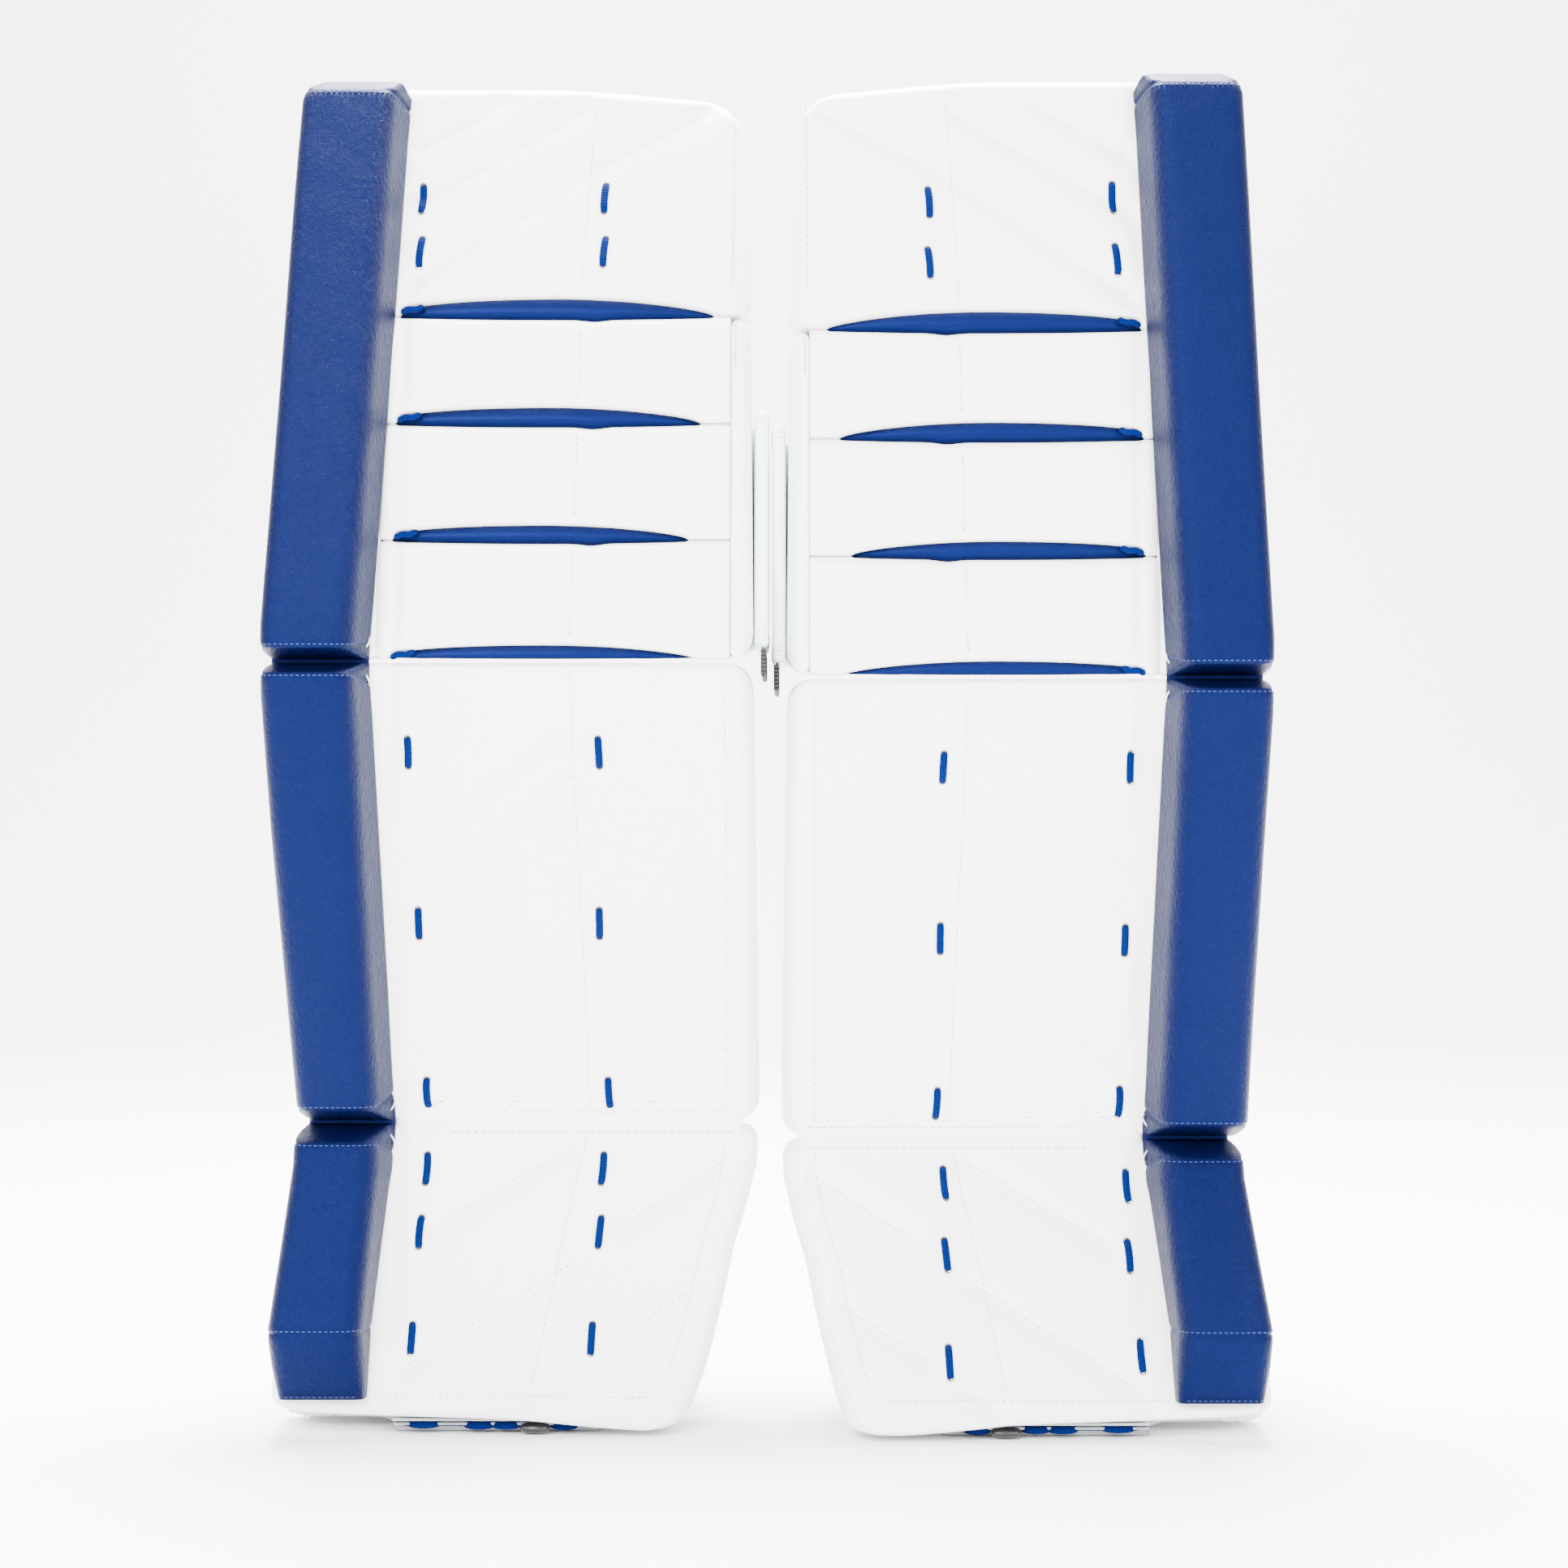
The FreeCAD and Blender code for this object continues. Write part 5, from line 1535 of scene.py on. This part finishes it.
def build_straps(pad, shape):
    """Webbing and elastic bands with a crossed box of stitches at each end."""
    knee = pad.knee
    straps = (
        ("shin", "calf_strap", (48 * MM, 222 * MM), (knee - 144 * MM, knee - 100 * MM), DEPTH + 95.4 * MM,
         "black_webbing"),
        ("thigh", "knee_strap", (6 * MM, 222 * MM), (knee + 28 * MM, knee + 62 * MM), DEPTH + 86 * MM,
         "black_elastic"),
        ("boot", "boot_strap", (44 * MM, 229.3 * MM), (68 * MM, 96 * MM), DEPTH + 52.7 * MM, "black_webbing"),
    )
    for part, node, limits, levels, near, look in straps:
        surface, threads = Surface(), Surface()
        surface.rings(pillow(pad, part, limits, levels, (near, near + 2.7 * MM), 1.2 * MM))
        band = surface.build(pad.name(f"{node}_band"), [finish(look)])
        settle(band, pad.name(node), [pad.name(node)])
        low, high = levels[0] + 3 * MM, levels[1] - 3 * MM
        for start in (limits[0] + 4 * MM, limits[1] - 26 * MM):
            end = start + 22 * MM
            cross = [(start, low), (end, low), (end, high), (start, high), (start, low), (end, high),
                     (end, low), (start, high)]
            for first, second in zip(cross, cross[1:]):
                line = resample([first, second], 2 * MM)
                points = pad.place(line[:, 0], near + 2.85 * MM, line[:, 1], part)
                threads.stitches(points, 3 * MM, 2.1 * MM, 0.5 * MM)
        settle(threads.build(pad.name(f"{node}_stitching"), [finish("grey_thread")]), pad.name(node))

    tail = Surface()
    tail.rings(pillow(pad, "thigh", (2 * MM, 5 * MM), (knee - 7 * MM, knee + 7.6 * MM),
                      (12 * MM, DEPTH + 68 * MM), 1.2 * MM))
    piece = tail.build(pad.name("knee_strap_tail"), [finish("black_elastic")])
    settle(piece, pad.name("thigh"), [pad.name("knee_strap_end")])


def finish_buckles(pad):
    """Gives the two halves of the buckle their finish."""
    for node in ("buckle_socket", "buckle_plug"):
        piece = frame["nodes"][pad.name(node)]
        piece.data.materials.clear()
        piece.data.materials.append(finish("black_plastic"))


# ------------------------------------------------------------------ settings
class PadShape(bpy.types.PropertyGroup):
    """Sizes of the sewn work that a maker would change."""

    spacing: bpy.props.FloatProperty(name="Mesh spacing", description="Distance between points of the covers",
                                     default=2.0 * MM, unit="LENGTH")
    puff: bpy.props.FloatProperty(name="Puff", description="How far the foam stands up between seams",
                                  default=2.2 * MM, unit="LENGTH")
    channel_depth: bpy.props.FloatProperty(name="Channel depth",
                                           description="Depth of the soft quilting channels",
                                           default=2.3 * MM, unit="LENGTH")
    seam_depth: bpy.props.FloatProperty(name="Seam depth", description="How far a row of stitches pulls in",
                                        default=1.1 * MM, unit="LENGTH")
    stitch_pitch: bpy.props.FloatProperty(name="Stitch pitch", description="Distance from stitch to stitch",
                                          default=4.0 * MM, unit="LENGTH")
    stitch_length: bpy.props.FloatProperty(name="Stitch length", description="Length of thread that shows",
                                           default=2.6 * MM, unit="LENGTH")
    thread: bpy.props.FloatProperty(name="Thread", description="Thickness of the thread", default=0.6 * MM,
                                    unit="LENGTH")
    roll_proud: bpy.props.FloatProperty(name="Roll height", description="How far the outer rolls stand proud",
                                        default=25 * MM, unit="LENGTH")


class PadFinish(bpy.types.PropertyGroup):
    """Colours and grain of the leathers and laces."""

    white: bpy.props.FloatVectorProperty(name="White leather", description="Colour of the faces",
                                         subtype="COLOR", default=(0.90, 0.905, 0.895))
    blue: bpy.props.FloatVectorProperty(name="Blue leather", description="Colour of the outer rolls",
                                        subtype="COLOR", default=(0.0004, 0.0012, 0.016))
    lace: bpy.props.FloatVectorProperty(name="Lace", description="Colour of the braided laces",
                                        subtype="COLOR", default=(0.0018, 0.0085, 0.082))
    grain_size: bpy.props.FloatProperty(name="Grain size", description="Width of one pebble of the grain",
                                        default=1.1 * MM, unit="LENGTH")


class StageSetup(bpy.types.PropertyGroup):
    """The floor, lights and camera round the pads."""

    distance: bpy.props.FloatProperty(name="Camera distance", description="From the camera to the faces",
                                      default=1.79, unit="LENGTH")
    height: bpy.props.FloatProperty(name="Camera height", description="Height of the camera over the floor",
                                    default=0.352, unit="LENGTH")
    aside: bpy.props.FloatProperty(name="Camera offset", description="Camera position across the pair",
                                   default=0.0076, unit="LENGTH")
    lens: bpy.props.FloatProperty(name="Lens", description="Focal length in millimetres", default=75.0)
    light: bpy.props.FloatProperty(name="Light", description="Strength of the room light", default=1.9)


# ------------------------------------------------------------------ operators
class PadPieceOperator:
    """Shared by the operators that build a group of pieces on both pads."""

    bl_options = {"REGISTER", "UNDO"}
    makers = ()

    def execute(self, context):
        for side in SIDES:
            pad = Stance(side)
            for maker in self.makers:
                maker(pad, context.scene.pad_shape)
        return {"FINISHED"}


class MESH_OT_pad_covers(PadPieceOperator, bpy.types.Operator):
    """Sews the white covers of the boot, shin and thigh sections"""

    bl_idname = "mesh.pad_covers"
    bl_label = "Covers"
    makers = (build_boot, build_shin, build_thigh, build_ankle_bridge)


class MESH_OT_pad_knee(PadPieceOperator, bpy.types.Operator):
    """Builds the knee rolls, the blue panel behind them and the knee block"""

    bl_idname = "mesh.pad_knee"
    bl_label = "Knee"
    makers = (build_knee_rolls, build_knee_base, build_knee_block)


class MESH_OT_pad_outer_rolls(PadPieceOperator, bpy.types.Operator):
    """Builds the three blue outer roll segments and their piping"""

    bl_idname = "mesh.pad_outer_rolls"
    bl_label = "Outer rolls"
    makers = (build_rolls, build_webs)


class MESH_OT_pad_laces(PadPieceOperator, bpy.types.Operator):
    """Threads the braided laces through the faces"""

    bl_idname = "mesh.pad_laces"
    bl_label = "Laces"
    makers = (build_laces,)


class MESH_OT_pad_toe(PadPieceOperator, bpy.types.Operator):
    """Fits the toe bridge plate, its lace and the cord lock"""

    bl_idname = "mesh.pad_toe"
    bl_label = "Toe bridge"
    makers = (build_toe,)


class MESH_OT_pad_back(PadPieceOperator, bpy.types.Operator):
    """Pads the boot channel, cushions and wings behind the faces"""

    bl_idname = "mesh.pad_back"
    bl_label = "Back"
    makers = (build_back,)


class MESH_OT_pad_straps(PadPieceOperator, bpy.types.Operator):
    """Fits the straps that hold the leg and the boot"""

    bl_idname = "mesh.pad_straps"
    bl_label = "Straps"
    makers = (build_straps,)


class MESH_OT_pad_hardware(bpy.types.Operator):
    """Finishes the buckles"""

    bl_idname = "mesh.pad_hardware"
    bl_label = "Buckles"
    bl_options = {"REGISTER", "UNDO"}

    def execute(self, context):
        for side in SIDES:
            finish_buckles(Stance(side))
        return {"FINISHED"}


class SCENE_OT_pad_stage(bpy.types.Operator):
    """Sets up the floor, the soft lights and the camera"""

    bl_idname = "scene.pad_stage"
    bl_label = "Stage"
    bl_options = {"REGISTER", "UNDO"}

    def execute(self, context):
        setup = context.scene.pad_stage
        floor = Surface()
        across = np.linspace(-6, 6, 3)
        bend_start, bend_radius = 2.5, 1.5
        profile = [(-6.0, 0.0), (bend_start, 0.0)]
        profile += [(bend_start + bend_radius * math.sin(a), bend_radius - bend_radius * math.cos(a))
                    for a in np.linspace(0.1, math.pi / 2, 12)]
        profile += [(4.0, 6.0)]
        rings = np.array([[(x, y, z) for x in across] for y, z in profile])
        floor.rings(rings, caps=(False, False), closed=False)
        sweep = floor.build("floor_sweep", [finish("pale_floor")])

        world = bpy.data.worlds.new("studio")
        context.scene.world = world
        world.use_nodes = True
        background = world.node_tree.nodes["Background"]
        background.inputs[0].default_value = (1.0, 1.0, 1.0, 1.0)
        background.inputs[1].default_value = setup.light

        for name, place, target, size, energy in (
                ("key_light", (-1.1, -3.0, 1.9), (0, 0, 0.4), 1.6, 330),
                ("fill_light", (1.6, -2.8, 1.2), (0, 0, 0.35), 1.8, 120),
                ("top_light", (0.0, 0.55, 2.3), (0, -0.2, 0), 1.0, 420),
                ("back_light", (0.0, 0.9, 2.9), (0, 2.9, 0.4), 2.6, 430)):
            lamp = bpy.data.lights.new(name, "AREA")
            lamp.size = size
            lamp.energy = energy
            light = bpy.data.objects.new(name, lamp)
            light.location = place
            aim = np.array(target) - np.array(place)
            flat = math.hypot(aim[0], aim[1])
            light.rotation_euler = (math.atan2(flat, -aim[2]), 0, math.atan2(-aim[0], aim[1]))
            context.scene.collection.objects.link(light)

        lens = bpy.data.cameras.new("camera")
        lens.lens = setup.lens
        lens.sensor_width = 36
        camera = bpy.data.objects.new("camera", lens)
        camera.location = (setup.aside, -0.06 - setup.distance, setup.height)
        camera.rotation_euler = (math.pi / 2, 0, 0)
        context.scene.collection.objects.link(camera)
        context.scene.camera = camera
        return {"FINISHED"}


class VIEW3D_PT_leg_pads(bpy.types.Panel):
    """Lists the steps that build the pads"""

    bl_label = "Leg Pads"
    bl_idname = "VIEW3D_PT_leg_pads"
    bl_space_type = "VIEW_3D"
    bl_region_type = "UI"
    bl_category = "Leg Pads"

    def draw(self, context):
        for group in ("pad_shape", "pad_finish", "pad_stage"):
            settings = getattr(context.scene, group)
            for name in settings.bl_rna.properties.keys():
                if name not in ("rna_type", "name"):
                    self.layout.prop(settings, name)
        for step in STEPS:
            self.layout.operator(step.bl_idname)


GROUPS = {"pad_shape": PadShape, "pad_finish": PadFinish, "pad_stage": StageSetup}
STEPS = (SCENE_OT_pad_stage, MESH_OT_pad_covers, MESH_OT_pad_knee, MESH_OT_pad_outer_rolls, MESH_OT_pad_laces,
         MESH_OT_pad_toe, MESH_OT_pad_back, MESH_OT_pad_straps, MESH_OT_pad_hardware)


def register():
    for name, group in GROUPS.items():
        bpy.utils.register_class(group)
        setattr(bpy.types.Scene, name, bpy.props.PointerProperty(type=group))
    for item in (*STEPS, VIEW3D_PT_leg_pads):
        bpy.utils.register_class(item)


def unregister():
    for item in reversed((*STEPS, VIEW3D_PT_leg_pads)):
        bpy.utils.unregister_class(item)
    for name, group in GROUPS.items():
        delattr(bpy.types.Scene, name)
        bpy.utils.unregister_class(group)


def main():
    register()
    bpy.ops.scene.pad_stage()
    bpy.ops.mesh.pad_covers()
    bpy.ops.mesh.pad_knee()
    bpy.ops.mesh.pad_outer_rolls()
    bpy.ops.mesh.pad_laces()
    bpy.ops.mesh.pad_toe()
    bpy.ops.mesh.pad_back()
    bpy.ops.mesh.pad_straps()
    bpy.ops.mesh.pad_hardware()


if __name__ == "__main__":
    main()
